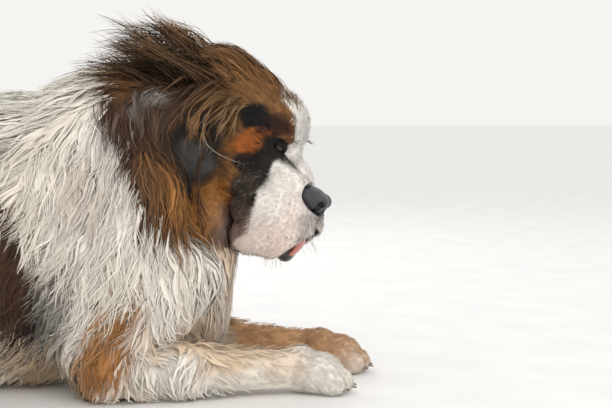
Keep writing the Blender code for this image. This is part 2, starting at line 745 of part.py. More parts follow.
def guided(guides, point):
    """The lie, length and width of a lock rooted at point: the guides' own, blended by nearness."""
    lie = Vector()
    length = width = total = 0.0
    for guide in guides:
        weight = 1 / ((point - Vector(guide.place)).length + 0.01) ** 4
        lie += Vector(guide.lie).normalized() * weight
        length += guide.length * weight
        width += guide.width * weight
        total += weight
    return lie.normalized(), length / total, width / total


def both_sides(guides):
    made = []
    for guide in guides:
        for side in SIDES.values():
            turned = Vector((1, side, 1))
            made.append(guide._replace(place=Vector(guide.place) * turned, lie=Vector(guide.lie) * turned))
    return made


def scattered(obj, guides, rng, tries, wanted):
    """Points spread evenly over the faces of obj that wanted accepts, further apart where the locks are wide."""
    faces = [face for face in obj.data.polygons if wanted(face.center, face.normal)]
    shares = [face.area for face in faces]
    points = []
    for face in rng.choices(faces, shares, k=tries):
        a, b, c = (obj.data.vertices[v].co for v in face.vertices)
        u, v = rng.random(), rng.random()
        if u + v > 1:
            u, v = 1 - u, 1 - v
        point = a + (b - a) * u + (c - a) * v
        spacing = guided(guides, point)[2] * LOCK_SPACING
        if all((point - other).length > spacing for other in points):
            points.append(point)
    return points


def lock_path(tree, root, guides, rng):
    """Points along a lock that follows the core's surface from its root and rises to the coat's depth."""
    lie, length, width = guided(guides, root)
    length *= rng.uniform(0.85, 1.15)
    width *= rng.uniform(0.85, 1.10)
    wave = rng.uniform(-1, 1) * LOCK_WAVE
    swing = rng.uniform(-0.22, 0.22)
    place, normal, _, _ = tree.find_nearest(root)
    points, normals = [], []
    walked = 0.0
    for share in (*(step[0] for step in LOCK_STEPS), 1.0):
        ahead, _, _ = guided(guides, place)
        ahead = ahead - normal * ahead.dot(normal)
        ahead = (Matrix.Rotation(swing, 3, normal) @ ahead).normalized()
        place, normal, _, _ = tree.find_nearest(place + ahead * length * (share - walked))
        walked = share
        aside = normal.cross(ahead) * wave * math.sin(2 * math.pi * share)
        points.append(place + aside)
        normals.append(normal.copy())
    return points, normals, width


def lock(name, points, normals, rises, widths, thickness, place):
    """A flat, tapered lock of three sides: two edges and a ridge along its outer face, closed at its root."""
    bm = bmesh.new()
    rings = []
    for i, width in enumerate(widths):
        along = (points[i + 1] - points[max(i - 1, 0)]).normalized()
        across = normals[i].cross(along).normalized()
        centre = points[i] + normals[i] * rises[i]
        rings.append([
            bm.verts.new(centre - across * width / 2),
            bm.verts.new(centre + across * width / 2),
            bm.verts.new(centre + normals[i] * thickness),
        ])
    tip = bm.verts.new(points[-1] + normals[-1] * rises[-1])
    for first, second in zip(rings, rings[1:]):
        for k in range(3):
            bm.faces.new((first[k], first[(k + 1) % 3], second[(k + 1) % 3], second[k]))
    for k in range(3):
        bm.faces.new((rings[-1][k], rings[-1][(k + 1) % 3], tip))
    bm.faces.new(rings[0])
    bmesh.ops.triangulate(bm, faces=bm.faces)
    return object_from_bmesh(name, bm, place)


def grow_coat(core, guides, depth, rng, place, wanted):
    """Locks all over the wanted faces of a core, each as a loose object with its root sunk in."""
    tree = tree_of(core)
    made = []
    for number, root in enumerate(scattered(core, guides, rng, 6000, wanted)):
        points, normals, width = lock_path(tree, root, guides, rng)
        lift = depth * rng.uniform(0.8, 1.1) * (1 - CORE_SHARE)
        rises = [lift * step[2] - (LOCK_SINK if i == 0 else 0) for i, step in enumerate(LOCK_STEPS)]
        rises.append(lift)
        widths = [width * step[1] for step in LOCK_STEPS]
        made.append((root, lock(f"lock_{number}", points, normals, rises, widths, LOCK_THICKNESS, place)))
    return made


def blown_locks(rng, place):
    """The crown's hair, lifted by the wind in arcs that rise, bend back and fall at their tips."""
    made = []
    for family in CROWN:
        for number in range(family.count):
            share = (number + 0.5) / family.count * 2 - 1 + rng.uniform(-0.15, 0.15)
            aside = Vector((0, share * CROWN_HALF_WIDTH, 0))
            jitter = Vector([rng.uniform(-0.014, 0.014) for _ in range(3)])
            root = Vector(family.root) + aside - Vector((0, 0, 0.020 + 0.018 * share * share))
            tip = Vector(family.tip) + aside * 1.5 + Vector((0, CROWN_DRIFT, 0)) + jitter * 1.6
            middle = Vector(family.middle) + aside * 1.25 + jitter
            pull = middle * 2 - (root + tip) / 2
            points = []
            for step in range(6):
                t = step / 5
                points.append(root * (1 - t) ** 2 + pull * 2 * t * (1 - t) + tip * t * t)
            points[-1] -= Vector((0, 0, rng.uniform(0.010, 0.030)))
            lean = math.radians(rng.uniform(25, 95) * rng.choice((-1, 1)))
            normals = []
            for a, b in zip(points, points[1:]):
                along = (b - a).normalized()
                above = (Vector((0, 0, 1)) - along * along.z).normalized()
                normals.append(Matrix.Rotation(lean, 3, along) @ above)
            normals.append(normals[-1])
            widths = [family.width * w for w in (0.7, 1.0, 1.0, 0.85, 0.5)]
            piece = lock("blown", points, normals, [0.0] * 6, widths, LOCK_THICKNESS, place)
            made.append(piece)
    return made


def ear_locks(ear, side, rng, place):
    """Long strands that hang over the ear from its upper edge, side by side."""
    low, high = corners(ear)
    made = []
    tree = tree_of(ear)
    for number in range(EAR_LOCKS):
        share = (number + 0.5) / EAR_LOCKS
        start = Vector((low[0] + (high[0] - low[0]) * (0.12 + 0.72 * share), 0.3 * side, high[2] - 0.030))
        start.z -= rng.uniform(0, 0.030)
        place_on, normal, _, _ = tree.ray_cast(start, Vector((0, -side, 0)))
        if place_on is None:
            continue
        length = EAR_LOCK_LENGTH * rng.uniform(0.8, 1.1)
        sway = rng.uniform(-0.010, 0.010)
        out = Vector((0, side, 0))
        points = [
            place_on + Vector((-0.020 * t + sway * math.sin(math.pi * 2 * t), 0, 0.010 - length * t))
            for t in (0, 0.25, 0.52, 0.8, 1)
        ]
        widths = [EAR_LOCK_WIDTH * w for w in (0.8, 1.0, 0.9, 0.5)]
        rises = [-0.004, 0.002, 0.004, 0.004, 0.000]
        made.append(lock("strand", points, [out] * 5, rises, widths, 0.006, place))
    return made


def nearest_node(trees, point):
    return min(trees, key=lambda name: trees[name].find_nearest(point)[3])


def tree_of(obj):
    return BVHTree.FromPolygons([v.co for v in obj.data.vertices], [p.vertices for p in obj.data.polygons])


def boxes_meet(a, b, room=0.002):
    """Whether the boxes round two objects' meshes overlap."""
    low_a, high_a = corners(a)
    low_b, high_b = corners(b)
    return all(low_a[k] - room < high_b[k] and low_b[k] - room < high_a[k] for k in range(3))


def corners(obj):
    points = [v.co for v in obj.data.vertices]
    return [[pick(p[k] for p in points) for k in range(3)] for pick in (min, max)]


def fuse_locks(nodes, owned, cutters):
    """Joins each node's locks in one union, cuts them clear of the other nodes and roots them in their own."""
    for name, pieces in owned.items():
        if not pieces:
            continue
        tufts = collection(f"{name}_locks", hidden=True)
        first = pieces[0]
        for piece in pieces[1:]:
            for home in list(piece.users_collection):
                home.objects.unlink(piece)
            tufts.objects.link(piece)
        if len(pieces) > 1:
            boolean(first, tufts, "UNION", "MANIFOLD")
        for piece in pieces[1:]:
            bpy.data.objects.remove(piece)
        for other, node in nodes.items():
            if other != name and boxes_meet(first, node):
                for amount in (GAP * 1.3, 0):
                    cutter = swollen(node, cutters, amount)
                    boolean(first, cutter, "DIFFERENCE", "MANIFOLD")
                    bpy.data.objects.remove(cutter)
        on_floor(first, cutters, "MANIFOLD")
        boolean(nodes[name], first, "UNION", "MANIFOLD")
        bpy.data.objects.remove(first)
        bpy.data.collections.remove(tufts)
        keep_largest(nodes[name])


def dress(nodes):
    """Gives each node its material and shades its rounded faces smooth."""
    made = {slot: material(slot, *looks) for slot, looks in MATERIALS.items()}
    for name, node in nodes.items():
        slot = "claw_horn" if "_claw_" in name else next(s for end, s in SLOTS.items() if name.endswith(end))
        node.data.materials.clear()
        node.data.materials.append(made[slot])
        node.data.shade_smooth()
        node.data.set_sharp_from_angle(angle=math.radians(50))


def build_paws(place, cutters, nodes):
    for word, side in SIDES.items():
        for leg, paws, back in (("forepaw", FOREPAWS, CARPUS_BACK), ("hind_paw", HINDPAWS, HOCK_BACK)):
            name = f"{word}_{leg}"
            paw = paws[word]
            made = build_paw(name, paw, place)
            keep = box("keep", (paw.x - back + GAP / 2, -1, 0), (2, 1, 1), cutters)
            boolean(made, keep, "INTERSECT")
            bpy.data.objects.remove(keep)
            claws = build_claws(name, paw, place)
            carve(made, claws, cutters)
            nodes[name] = made
            for claw in claws:
                nodes[claw.name] = claw


def on_body_coat(point, normal):
    """Whether long coat grows here: not underneath, not at the forearms' ends and not inside the head."""
    if normal.z < -0.45 or point.z < 0.035:
        return False
    if point.x > -0.130 and point.z < 0.150:
        return False
    cut = slant(*HEAD_CUT).inverted() @ point
    return cut.x < 0.01 or cut.z < HEAD_CELL[0][2]


def main():
    clear_scene()
    parts = collection("saint_bernard")
    cutters = collection("cutters", hidden=True)
    body = build_body(parts)
    rng = random.Random(SEED)
    locks = grow_coat(body, [*both_sides(COAT), *TAIL_COAT], COAT_DEPTH, rng, cutters, on_body_coat)
    head = build_head(parts)
    cell = box("cell", *HEAD_CELL, cutters, slant(*HEAD_CUT))
    boolean(head, cell, "INTERSECT")
    carve(body, [cell], cutters)
    bpy.data.objects.remove(cell)
    nodes = part_body(body, parts, cutters)
    nodes["head"] = head
    nodes["nose"] = build_nose(parts, cutters)
    frame = head_matrix()
    nodes["lower_jaw"] = limb("lower_jaw", JAW, parts, frame=frame, core=1, ring=10, steps=2)
    nodes["tongue"] = limb("tongue", TONGUE, parts, frame=frame, ring=10, steps=2)
    for word, side in SIDES.items():
        add_lids(head, side, cutters)
        eyeball = Mass((0, 0, 0), (EYE_RADIUS,) * 3, 0, 0)
        nodes[f"{word}_eye"] = ellipsoid(f"{word}_eye", eyeball, parts, eye_frame(side), segments=10)
        nodes[f"{word}_ear"] = flap(f"{word}_ear", parts, side)
    cut_mouth(head, cutters)
    for name in ("lower_jaw", "tongue"):
        triangulate(nodes[name])
    carve(nodes["lower_jaw"], [nodes["tongue"]], cutters)
    carve(nodes["neck"], [nodes["lower_jaw"]], cutters)
    carve(head, [nodes[n] for n in ("nose", "lower_jaw", "tongue", "right_eye", "left_eye")], cutters)
    cut_nostrils(nodes["nose"], cutters)
    for word in SIDES:
        carve(nodes[f"{word}_ear"], [head, nodes["neck"]], cutters)
    build_paws(parts, cutters, nodes)
    for node in nodes.values():
        on_floor(node, cutters)
        keep_largest(node)
    trees = {name: tree_of(nodes[name]) for name in COATED}
    owned = {name: [] for name in COATED}
    for root, piece in locks:
        owned[nearest_node(trees, root)].append(piece)
    for word, side in SIDES.items():
        name = f"{word}_ear"
        owned[name] = ear_locks(nodes[name], side, rng, cutters)
    owned["head"] = blown_locks(rng, cutters)
    fuse_locks(nodes, owned, cutters)
    centre_on_floor(nodes.values())
    dress(nodes)


main()
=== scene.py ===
"""The looks of a long-haired Saint Bernard lying with its head raised: skin, coat, eyes, light and camera."""

import math
from collections import namedtuple

import bmesh
import bpy
import numpy as np
from mathutils import Matrix, Vector
from mathutils.bvhtree import BVHTree


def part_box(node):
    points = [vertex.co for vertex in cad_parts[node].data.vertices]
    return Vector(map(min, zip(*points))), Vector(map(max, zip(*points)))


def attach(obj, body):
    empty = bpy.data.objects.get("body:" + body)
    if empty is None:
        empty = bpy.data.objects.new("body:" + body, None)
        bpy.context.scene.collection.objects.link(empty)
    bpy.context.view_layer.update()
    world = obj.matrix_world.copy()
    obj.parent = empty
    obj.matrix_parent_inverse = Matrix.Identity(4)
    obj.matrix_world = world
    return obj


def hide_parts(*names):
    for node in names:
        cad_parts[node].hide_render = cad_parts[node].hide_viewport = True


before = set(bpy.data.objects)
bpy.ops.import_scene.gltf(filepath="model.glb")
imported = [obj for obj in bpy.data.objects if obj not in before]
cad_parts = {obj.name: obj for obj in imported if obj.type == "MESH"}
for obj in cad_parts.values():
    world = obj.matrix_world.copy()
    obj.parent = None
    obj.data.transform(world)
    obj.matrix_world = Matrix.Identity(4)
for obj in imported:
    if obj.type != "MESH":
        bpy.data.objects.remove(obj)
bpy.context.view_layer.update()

# Shapes repeat the solids' own tables without the coat: sizes in metres, turns in degrees, the dog facing +X
HEAD_PITCH = 35
HEAD_YAW = -15
BETWEEN_EYES = Vector((-0.033, -0.026, 0.4285))
EYE_RADIUS = 0.0125
EYE_PLACE = Vector((-0.003, 0.049, 0.000))
LID_THICKNESS = 0.0026
LID_OPENING = 0.0042
EYE_GAZE = 62
EYE_DROOP = 8
SIDES = {"right": -1, "left": 1}
BODY_VOXEL = 0.006
HEAD_VOXEL = 0.0026
PAW_VOXEL = 0.0026
NOSE_VOXEL = 0.0011
FLOOR_CUT_AT = (-0.5, 0, -0.15)
FLOOR_CUT_SIZE = (3, 2, 0.3)
FLOOR_SIZE = 30
SEED = 11

Station = namedtuple("Station", "x y z half_width half_height")
Mass = namedtuple("Mass", "centre radii turn")


def table(kind, *rows):
    return tuple(kind(*row) for row in rows)


TRUNK = table(Station,
    (-0.190, 0, 0.215, 0.070, 0.090),
    (-0.240, 0, 0.228, 0.120, 0.165),
    (-0.330, 0, 0.240, 0.150, 0.208),
    (-0.460, 0, 0.254, 0.165, 0.236),
    (-0.620, 0, 0.243, 0.175, 0.228),
    (-0.760, 0, 0.222, 0.160, 0.205),
    (-0.880, 0, 0.203, 0.145, 0.183),
    (-0.960, 0, 0.190, 0.115, 0.145),
    (-1.005, 0, 0.185, 0.060, 0.085),
)
NECK = table(Station,
    (-0.430, 0, 0.300, 0.140, 0.175),
    (-0.340, 0, 0.384, 0.128, 0.160),
    (-0.250, -0.006, 0.420, 0.110, 0.135),
    (-0.170, -0.012, 0.445, 0.090, 0.105),
)
TAIL = table(Station,
    (-0.990, 0, 0.235, 0.045, 0.045),
    (-1.060, 0, 0.155, 0.036, 0.036),
    (-1.140, -0.015, 0.075, 0.030, 0.030),
    (-1.240, -0.055, 0.046, 0.024, 0.024),
    (-1.320, -0.130, 0.040, 0.018, 0.018),
    (-1.350, -0.215, 0.032, 0.010, 0.010),
)
UPPER_ARM = table(Station,
    (-0.235, 0.115, 0.235, 0.050, 0.075),
    (-0.290, 0.140, 0.140, 0.046, 0.062),
    (-0.345, 0.160, 0.062, 0.042, 0.048),
)
FOREARMS = {
    "right": table(Station,
        (-0.345, 0.160, 0.052, 0.042, 0.044),
        (-0.220, 0.146, 0.050, 0.040, 0.042),
        (-0.100, 0.118, 0.044, 0.034, 0.036),
        (-0.008, 0.100, 0.042, 0.034, 0.034),
    ),
    "left": table(Station,
        (-0.345, 0.160, 0.052, 0.042, 0.044),
        (-0.200, 0.140, 0.050, 0.040, 0.042),
        (-0.065, 0.105, 0.044, 0.034, 0.036),
        (0.030, 0.084, 0.042, 0.034, 0.034),
    ),
}
THIGH = table(Station,
    (-0.930, 0.100, 0.235, 0.060, 0.095),
    (-0.820, 0.150, 0.190, 0.058, 0.090),
    (-0.715, 0.178, 0.135, 0.050, 0.068),
)
SHANK = table(Station,
    (-0.715, 0.182, 0.125, 0.046, 0.056),
    (-0.850, 0.196, 0.085, 0.040, 0.045),
    (-0.965, 0.198, 0.052, 0.030, 0.036),
)
METATARSUS = table(Station,
    (-0.965, 0.198, 0.040, 0.028, 0.028),
    (-0.860, 0.208, 0.036, 0.030, 0.028),
    (-0.775, 0.212, 0.036, 0.032, 0.030),
)
BODY_MASSES = table(Mass,
    ((-0.188, -0.012, 0.305), (0.060, 0.062, 0.092), 0),
    ((-0.215, 0, 0.205), (0.055, 0.105, 0.135), 0),
    ((-0.395, 0, 0.425), (0.095, 0.085, 0.070), 25),
)
PAIRED_MASSES = table(Mass,
    ((-0.310, 0.118, 0.245), (0.095, 0.062, 0.165), 20),
    ((-0.900, 0.120, 0.200), (0.125, 0.070, 0.150), -20),
)
HEAD_MASSES = table(Mass,
    ((-0.150, 0, 0.008), (0.072, 0.070, 0.068), 0),
    ((-0.095, 0, 0.000), (0.105, 0.080, 0.078), 0),
    ((-0.038, 0, 0.030), (0.052, 0.064, 0.044), 0),
    ((-0.060, 0, -0.105), (0.090, 0.062, 0.055), 8),
    ((0.060, 0, -0.062), (0.055, 0.046, 0.037), 0),
    ((-0.010, 0, 0.018), (0.030, 0.036, 0.036), 0),
    ((0.002, 0, -0.008), (0.028, 0.030, 0.028), 0),
)
PAIRED_HEAD_MASSES = table(Mass,
    ((-0.021, 0.037, 0.022), (0.034, 0.030, 0.019), 8),
    ((-0.046, 0.062, -0.052), (0.070, 0.032, 0.066), 0),
    ((0.022, 0.036, -0.062), (0.060, 0.028, 0.052), 6),
    ((0.024, 0.050, -0.108), (0.050, 0.022, 0.050), 0),
    ((0.078, 0.045, -0.118), (0.048, 0.019, 0.062), 8),
    ((0.048, 0.050, -0.148), (0.040, 0.016, 0.048), 25),
    ((0.103, 0.024, -0.092), (0.024, 0.022, 0.036), 0),
    ((0.108, 0.030, -0.106), (0.029, 0.020, 0.042), -12),
    ((0.006, 0.046, -0.022), (0.028, 0.022, 0.017), 20),
    ((-0.026, 0.054, -0.002), (0.024, 0.020, 0.022), 0),
)
MUZZLE = table(Station,
    (-0.020, 0, -0.050, 0.052, 0.044),
    (0.035, 0, -0.066, 0.045, 0.039),
    (0.080, 0, -0.068, 0.043, 0.038),
    (0.104, 0, -0.070, 0.036, 0.035),
)
JAW = table(Station,
    (0.000, 0, -0.150, 0.029, 0.021),
    (0.055, 0, -0.154, 0.029, 0.020),
    (0.110, 0, -0.155, 0.026, 0.020),
)
TONGUE = table(Station,
    (0.030, 0, -0.122, 0.020, 0.006),
    (0.085, 0, -0.112, 0.024, 0.007),
    (0.108, 0, -0.114, 0.025, 0.007),
    (0.119, 0, -0.132, 0.024, 0.006),
    (0.116, 0, -0.156, 0.020, 0.005),
)
NOSE_MASSES = table(Mass,
    ((0.0940, 0, -0.0450), (0.0290, 0.0270, 0.0165), 0),
    ((0.1080, 0, -0.0580), (0.0150, 0.0080, 0.0150), 0),
)
PAIRED_NOSE_MASSES = table(Mass,
    ((0.0900, 0.0195, -0.0520), (0.0300, 0.0135, 0.0145), 6),
    ((0.1080, 0.0130, -0.0440), (0.0150, 0.0120, 0.0135), 0),
)
# The nostril: a hole in front that narrows to a slit round under the wing
NOSTRIL = table(Station,
    (0.1130, 0.0190, -0.0440, 0.0056, 0.0050),
    (0.1125, 0.0255, -0.0500, 0.0042, 0.0040),
    (0.1105, 0.0265, -0.0575, 0.0030, 0.0030),
    (0.1050, 0.0235, -0.0640, 0.0026, 0.0026),
    (0.0965, 0.0270, -0.0635, 0.0025, 0.0025),
    (0.0860, 0.0305, -0.0585, 0.0023, 0.0023),
    (0.0765, 0.0312, -0.0520, 0.0020, 0.0020),
)
PHILTRUM = table(Station,
    (0.124, 0, -0.046, 0.0012, 0.0030),
    (0.126, 0, -0.062, 0.0014, 0.0040),
    (0.130, 0, -0.080, 0.0016, 0.0040),
    (0.132, 0, -0.092, 0.0020, 0.0040),
)
Paw = namedtuple("Paw", "x y heading scale")
FOREPAWS = {"right": Paw(0.022, -0.098, -2, 1.0), "left": Paw(0.060, 0.080, 2, 1.0)}
HINDPAWS = {"right": Paw(-0.722, -0.215, -6, 0.88), "left": Paw(-0.730, 0.215, 6, 0.88)}
PAW_RADII = Vector((0.044, 0.042, 0.036))
TOE_RADII = Vector((0.026, 0.0125, 0.020))
TOE_SPREAD = (-0.033, -0.0115, 0.0115, 0.033)
TOE_REACH = (0.022, 0.034, 0.034, 0.022)
CLAW_LENGTH = 0.018
CLAW_RADIUS = 0.0042
CLAW_HEIGHT = 0.014
CLAW_DROOP = 18
EAR_MIDDLE = -0.143
EAR_WIDTH = 0.056
EAR_LENGTH = 0.135
EAR_TOP = 0.074
EAR_BURR = 0.012
EAR_ROOT_SIDE = 0.080
EAR_BULGE = 0.034
EAR_CUP = 0.020
EAR_THICKNESS = 0.006
MOUTH = Mass((0.150, 0, -0.164), (0.066, 0.038, 0.080), 0)
LIP_EDGE = Mass((0.392, -0.009, -0.2455), (0.300, 0.300, 0.300), 0)
NOSE_ROOM = Mass((0.111, 0, -0.041), (0.046, 0.060, 0.027), 0)

# How the coat lies: place and lie of the hair on the left side, its length, how far it stands off and how
# wavy it is
Lie = namedtuple("Lie", "place lie length depth wave")
BODY_LIES = table(Lie,
    ((-0.370, 0, 0.570), (-0.90, 0, 0.00), 0.110, 0.045, 0.5),
    ((-0.440, 0.05, 0.520), (-0.9, 0.1, -0.30), 0.130, 0.045, 0.6),
    ((-0.500, 0, 0.500), (-1, 0, -0.10), 0.130, 0.045, 0.6),
    ((-0.700, 0, 0.470), (-1, 0, -0.10), 0.120, 0.040, 0.5),
    ((-0.900, 0, 0.400), (-0.9, 0, -0.30), 0.120, 0.042, 0.6),
    ((-0.300, 0.130, 0.470), (0.10, 0, -1), 0.090, 0.040, 0.7),
    ((-0.260, 0.125, 0.380), (0.22, 0, -1), 0.110, 0.045, 0.9),
    ((-0.400, 0.160, 0.420), (-0.25, 0.10, -0.90), 0.115, 0.042, 0.9),
    ((-0.330, 0.150, 0.360), (0.02, 0, -1), 0.120, 0.045, 1.0),
    ((-0.170, 0, 0.250), (0.25, 0, -1), 0.120, 0.035, 1.0),
    ((-0.200, 0.090, 0.220), (0.35, 0, -1), 0.140, 0.042, 1.2),
    ((-0.260, 0.150, 0.210), (0.10, 0, -0.9), 0.140, 0.044, 1.3),
    ((-0.150, 0, 0.120), (0.30, 0, -0.90), 0.100, 0.045, 1.0),
    ((-0.330, 0.190, 0.280), (-0.35, 0, -0.80), 0.140, 0.048, 1.3),
    ((-0.300, 0.200, 0.120), (-0.50, 0, -0.75), 0.100, 0.040, 0.9),
    ((-0.200, 0.190, 0.060), (-0.30, 0, -0.50), 0.060, 0.026, 0.7),
    ((-0.420, 0.190, 0.120), (-0.50, 0, -0.75), 0.120, 0.045, 1.1),
    ((-0.600, 0.190, 0.280), (-0.45, 0, -0.80), 0.140, 0.045, 0.9),
    ((-0.600, 0.170, 0.080), (-0.60, 0, -0.60), 0.120, 0.045, 0.9),
    ((-0.800, 0.180, 0.300), (-0.75, 0, -0.60), 0.130, 0.045, 0.7),
    ((-0.880, 0.200, 0.200), (-0.60, 0, -0.75), 0.130, 0.045, 0.9),
    ((-1.030, 0.080, 0.250), (-0.50, 0, -0.85), 0.140, 0.050, 1.0),
    ((-0.720, 0.230, 0.120), (0.50, 0, -0.60), 0.050, 0.025, 0.5),
    ((-0.850, 0.240, 0.090), (-0.50, 0, -0.50), 0.070, 0.030, 0.6),
    ((-0.860, 0.235, 0.045), (0.90, 0, -0.20), 0.025, 0.012, 0.2),
    ((-0.960, 0.230, 0.060), (-0.60, 0, -0.80), 0.060, 0.030, 0.5),
    ((-0.740, 0.215, 0.060), (0.95, 0, -0.25), 0.014, 0.006, 0.1),
    ((-0.690, 0.215, 0.030), (0.70, 0, -0.70), 0.010, 0.005, 0.1),
)
FORELEG_LIES = table(Lie,
    ((-0.330, 0.205, 0.080), (-0.20, 0, -0.60), 0.070, 0.028, 0.7),
    ((-0.240, 0.185, 0.085), (0.80, 0, -0.30), 0.035, 0.014, 0.4),
    ((-0.240, 0.185, 0.030), (0.30, 0, -0.60), 0.040, 0.016, 0.4),
    ((-0.120, 0.150, 0.070), (0.95, 0, -0.25), 0.026, 0.010, 0.3),
    ((-0.120, 0.150, 0.025), (0.60, 0, -0.60), 0.028, 0.010, 0.3),
    ((-0.110, 0.090, 0.050), (0.80, 0, -0.50), 0.028, 0.010, 0.3),
    ((-0.030, 0.100, 0.075), (0.95, 0, -0.15), 0.018, 0.007, 0.2),
    ((0.010, 0.130, 0.040), (0.80, 0, -0.50), 0.014, 0.006, 0.1),
    ((0.020, 0.098, 0.070), (0.98, 0, -0.20), 0.012, 0.005, 0.1),
    ((0.070, 0.098, 0.045), (0.60, 0, -0.80), 0.009, 0.004, 0.1),
    ((0.100, 0.080, 0.040), (0.60, 0, -0.80), 0.009, 0.004, 0.1),
)
TAIL_LIES = table(Lie,
    ((-1.050, 0, 0.200), (-0.55, 0, -0.80), 0.130, 0.045, 0.8),
    ((-1.120, -0.010, 0.120), (-0.75, -0.15, -0.60), 0.130, 0.045, 0.8),
    ((-1.200, -0.040, 0.080), (-0.90, -0.35, -0.15), 0.130, 0.045, 0.9),
    ((-1.310, -0.110, 0.070), (-0.60, -0.80, -0.05), 0.120, 0.042, 0.9),
    ((-1.350, -0.200, 0.050), (-0.15, -1, -0.05), 0.090, 0.036, 0.9),
)
# The head's own, in its frame
HEAD_LIES = table(Lie,
    ((0.080, 0, -0.022), (-1, 0, 0.1), 0.007, 0.002, 0),
    ((0.040, 0.012, -0.018), (-1, 0.2, 0.4), 0.009, 0.003, 0),
    ((0.012, 0, 0.040), (-0.6, 0, 1), 0.016, 0.008, 0.1),
    ((-0.020, 0, 0.070), (-1, 0, 0.7), 0.026, 0.012, 0.2),
    ((-0.050, 0.030, 0.070), (-1, 0.1, 0.3), 0.036, 0.014, 0.3),
    ((-0.100, 0, 0.078), (-1, 0, 0.1), 0.060, 0.020, 0.5),
    ((-0.160, 0, 0.070), (-1, 0, -0.2), 0.080, 0.030, 0.5),
    ((0.000, 0.040, 0.026), (-0.7, 0.4, 0.6), 0.012, 0.004, 0),
    ((0.020, 0.045, -0.020), (-0.8, 0.3, -0.2), 0.008, 0.003, 0),
    ((-0.020, 0.060, 0.010), (-1, 0.2, 0), 0.014, 0.005, 0.1),
    ((-0.060, 0.070, 0.030), (-1, 0.2, 0.1), 0.030, 0.010, 0.3),
    ((-0.020, 0.065, -0.030), (-0.8, 0.2, -0.5), 0.013, 0.004, 0),
    ((-0.060, 0.090, -0.050), (-0.9, 0.1, -0.5), 0.026, 0.008, 0.2),
    ((-0.080, 0.080, -0.100), (-0.7, 0.1, -0.7), 0.040, 0.014, 0.4),
    ((-0.020, 0.070, -0.100), (-0.6, 0.1, -0.8), 0.016, 0.005, 0.1),
    ((-0.020, 0.060, -0.150), (-0.6, 0, -0.8), 0.026, 0.010, 0.2),
    ((0.080, 0.055, -0.070), (-0.6, 0.2, -0.6), 0.006, 0.002, 0),
    ((0.100, 0.050, -0.120), (-0.3, 0.1, -1), 0.006, 0.002, 0),
    ((0.060, 0.065, -0.160), (-0.4, 0.1, -1), 0.007, 0.003, 0),
    ((0.030, 0.065, -0.100), (-0.6, 0.1, -0.8), 0.009, 0.003, 0),
    ((0.122, 0.020, -0.090), (0.1, 0.2, -1), 0.005, 0.002, 0),
    ((-0.080, 0, -0.160), (-0.2, 0, -0.9), 0.050, 0.014, 0.6),
    ((-0.060, 0.075, -0.150), (-0.5, 0.1, -0.8), 0.036, 0.011, 0.5),
    ((-0.150, 0.060, -0.060), (-0.5, 0, -0.8), 0.060, 0.020, 0.6),
    ((-0.130, 0.115, 0.010), (0.40, 0, -0.85), 0.016, 0.004, 0.2),
    ((-0.100, 0.120, -0.070), (0.50, 0, -0.80), 0.010, 0.003, 0.1),
)

# Blown hair: families of arcs from the crown, in the dog's own frame
Blown = namedtuple("Blown", "root middle tip count")
CROWN = table(Blown,
    ((-0.120, 0, 0.545), (-0.150, 0, 0.585), (-0.205, 0, 0.618), 24),
    ((-0.160, 0, 0.545), (-0.215, 0, 0.610), (-0.280, 0, 0.662), 28),
    ((-0.200, 0, 0.535), (-0.270, 0, 0.600), (-0.355, 0, 0.640), 26),
    ((-0.235, 0, 0.520), (-0.310, 0, 0.575), (-0.375, 0, 0.595), 22),
    ((-0.255, 0, 0.505), (-0.325, 0, 0.540), (-0.395, 0, 0.530), 20),
)
CROWN_HALF_WIDTH = 0.060
# Above this height the blown hair is pressed down by this share
CROWN_TOP = 0.635
CROWN_PRESSED = 0.35
BLOWN_WIDTH = 0.0014
FALL_WIDTH = 0.0012

CREAM = (0.96, 0.88, 0.76)
WHITE = (0.96, 0.92, 0.86)
PEACH = (0.80, 0.58, 0.38)
TAN = (0.52, 0.34, 0.17)
ORANGE = (0.46, 0.20, 0.055)
RUST = (0.37, 0.155, 0.042)
DEEP_ORANGE = (0.36, 0.105, 0.022)
RED_BROWN = (0.12, 0.042, 0.018)
BROWN = (0.070, 0.036, 0.020)
CROWN_BROWN = (0.26, 0.125, 0.045)
BLACK = (0.010, 0.009, 0.010)
GREY = (0.13, 0.13, 0.14)
SLATE = (0.055, 0.050, 0.048)
PINK = (0.80, 0.56, 0.46)
FAWN = (0.58, 0.32, 0.16)
HEAD_BROWN = (0.21, 0.10, 0.038)
GRIZZLE = (0.28, 0.22, 0.16)
LIP_BLACK = (0.030, 0.024, 0.026)
BROW_BROWN = (0.22, 0.12, 0.06)
BLOWN_DARK = (0.050, 0.030, 0.019)
BLOWN_TAN = (0.34, 0.19, 0.085)
NOSE_DARK = (0.030, 0.030, 0.034)
NOSE_PALE = (0.08, 0.08, 0.09)
# Painted shade for the deep slits of the nostrils
NOSTRIL_SHADE = (0.004, 0.004, 0.004)

rng = np.random.default_rng(SEED)


def head_matrix(pitched=True):
    turned = Matrix.Translation(BETWEEN_EYES) @ Matrix.Rotation(math.radians(HEAD_YAW), 4, "Z")
    if pitched:
        turned = turned @ Matrix.Rotation(math.radians(HEAD_PITCH), 4, "Y")
    return turned


HEAD = head_matrix()
eye_low, eye_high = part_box("right_eye")
SHIFT = (eye_low + eye_high) / 2 - HEAD @ Vector((EYE_PLACE.x, -EYE_PLACE.y, EYE_PLACE.z))
SHIFT.z = 0
HEAD_TURN = np.array(HEAD)[:3, :3]
HEAD_AT = np.array(HEAD)[:3, 3]


# --- shapes ---

def add_object(name, mesh):
    obj = bpy.data.objects.new(name, mesh)
    bpy.context.scene.collection.objects.link(obj)
    return obj


def object_from_bmesh(name, bm):
    bmesh.ops.recalc_face_normals(bm, faces=bm.faces)
    mesh = bpy.data.meshes.new(name)
    bm.to_mesh(mesh)
    bm.free()
    return add_object(name, mesh)


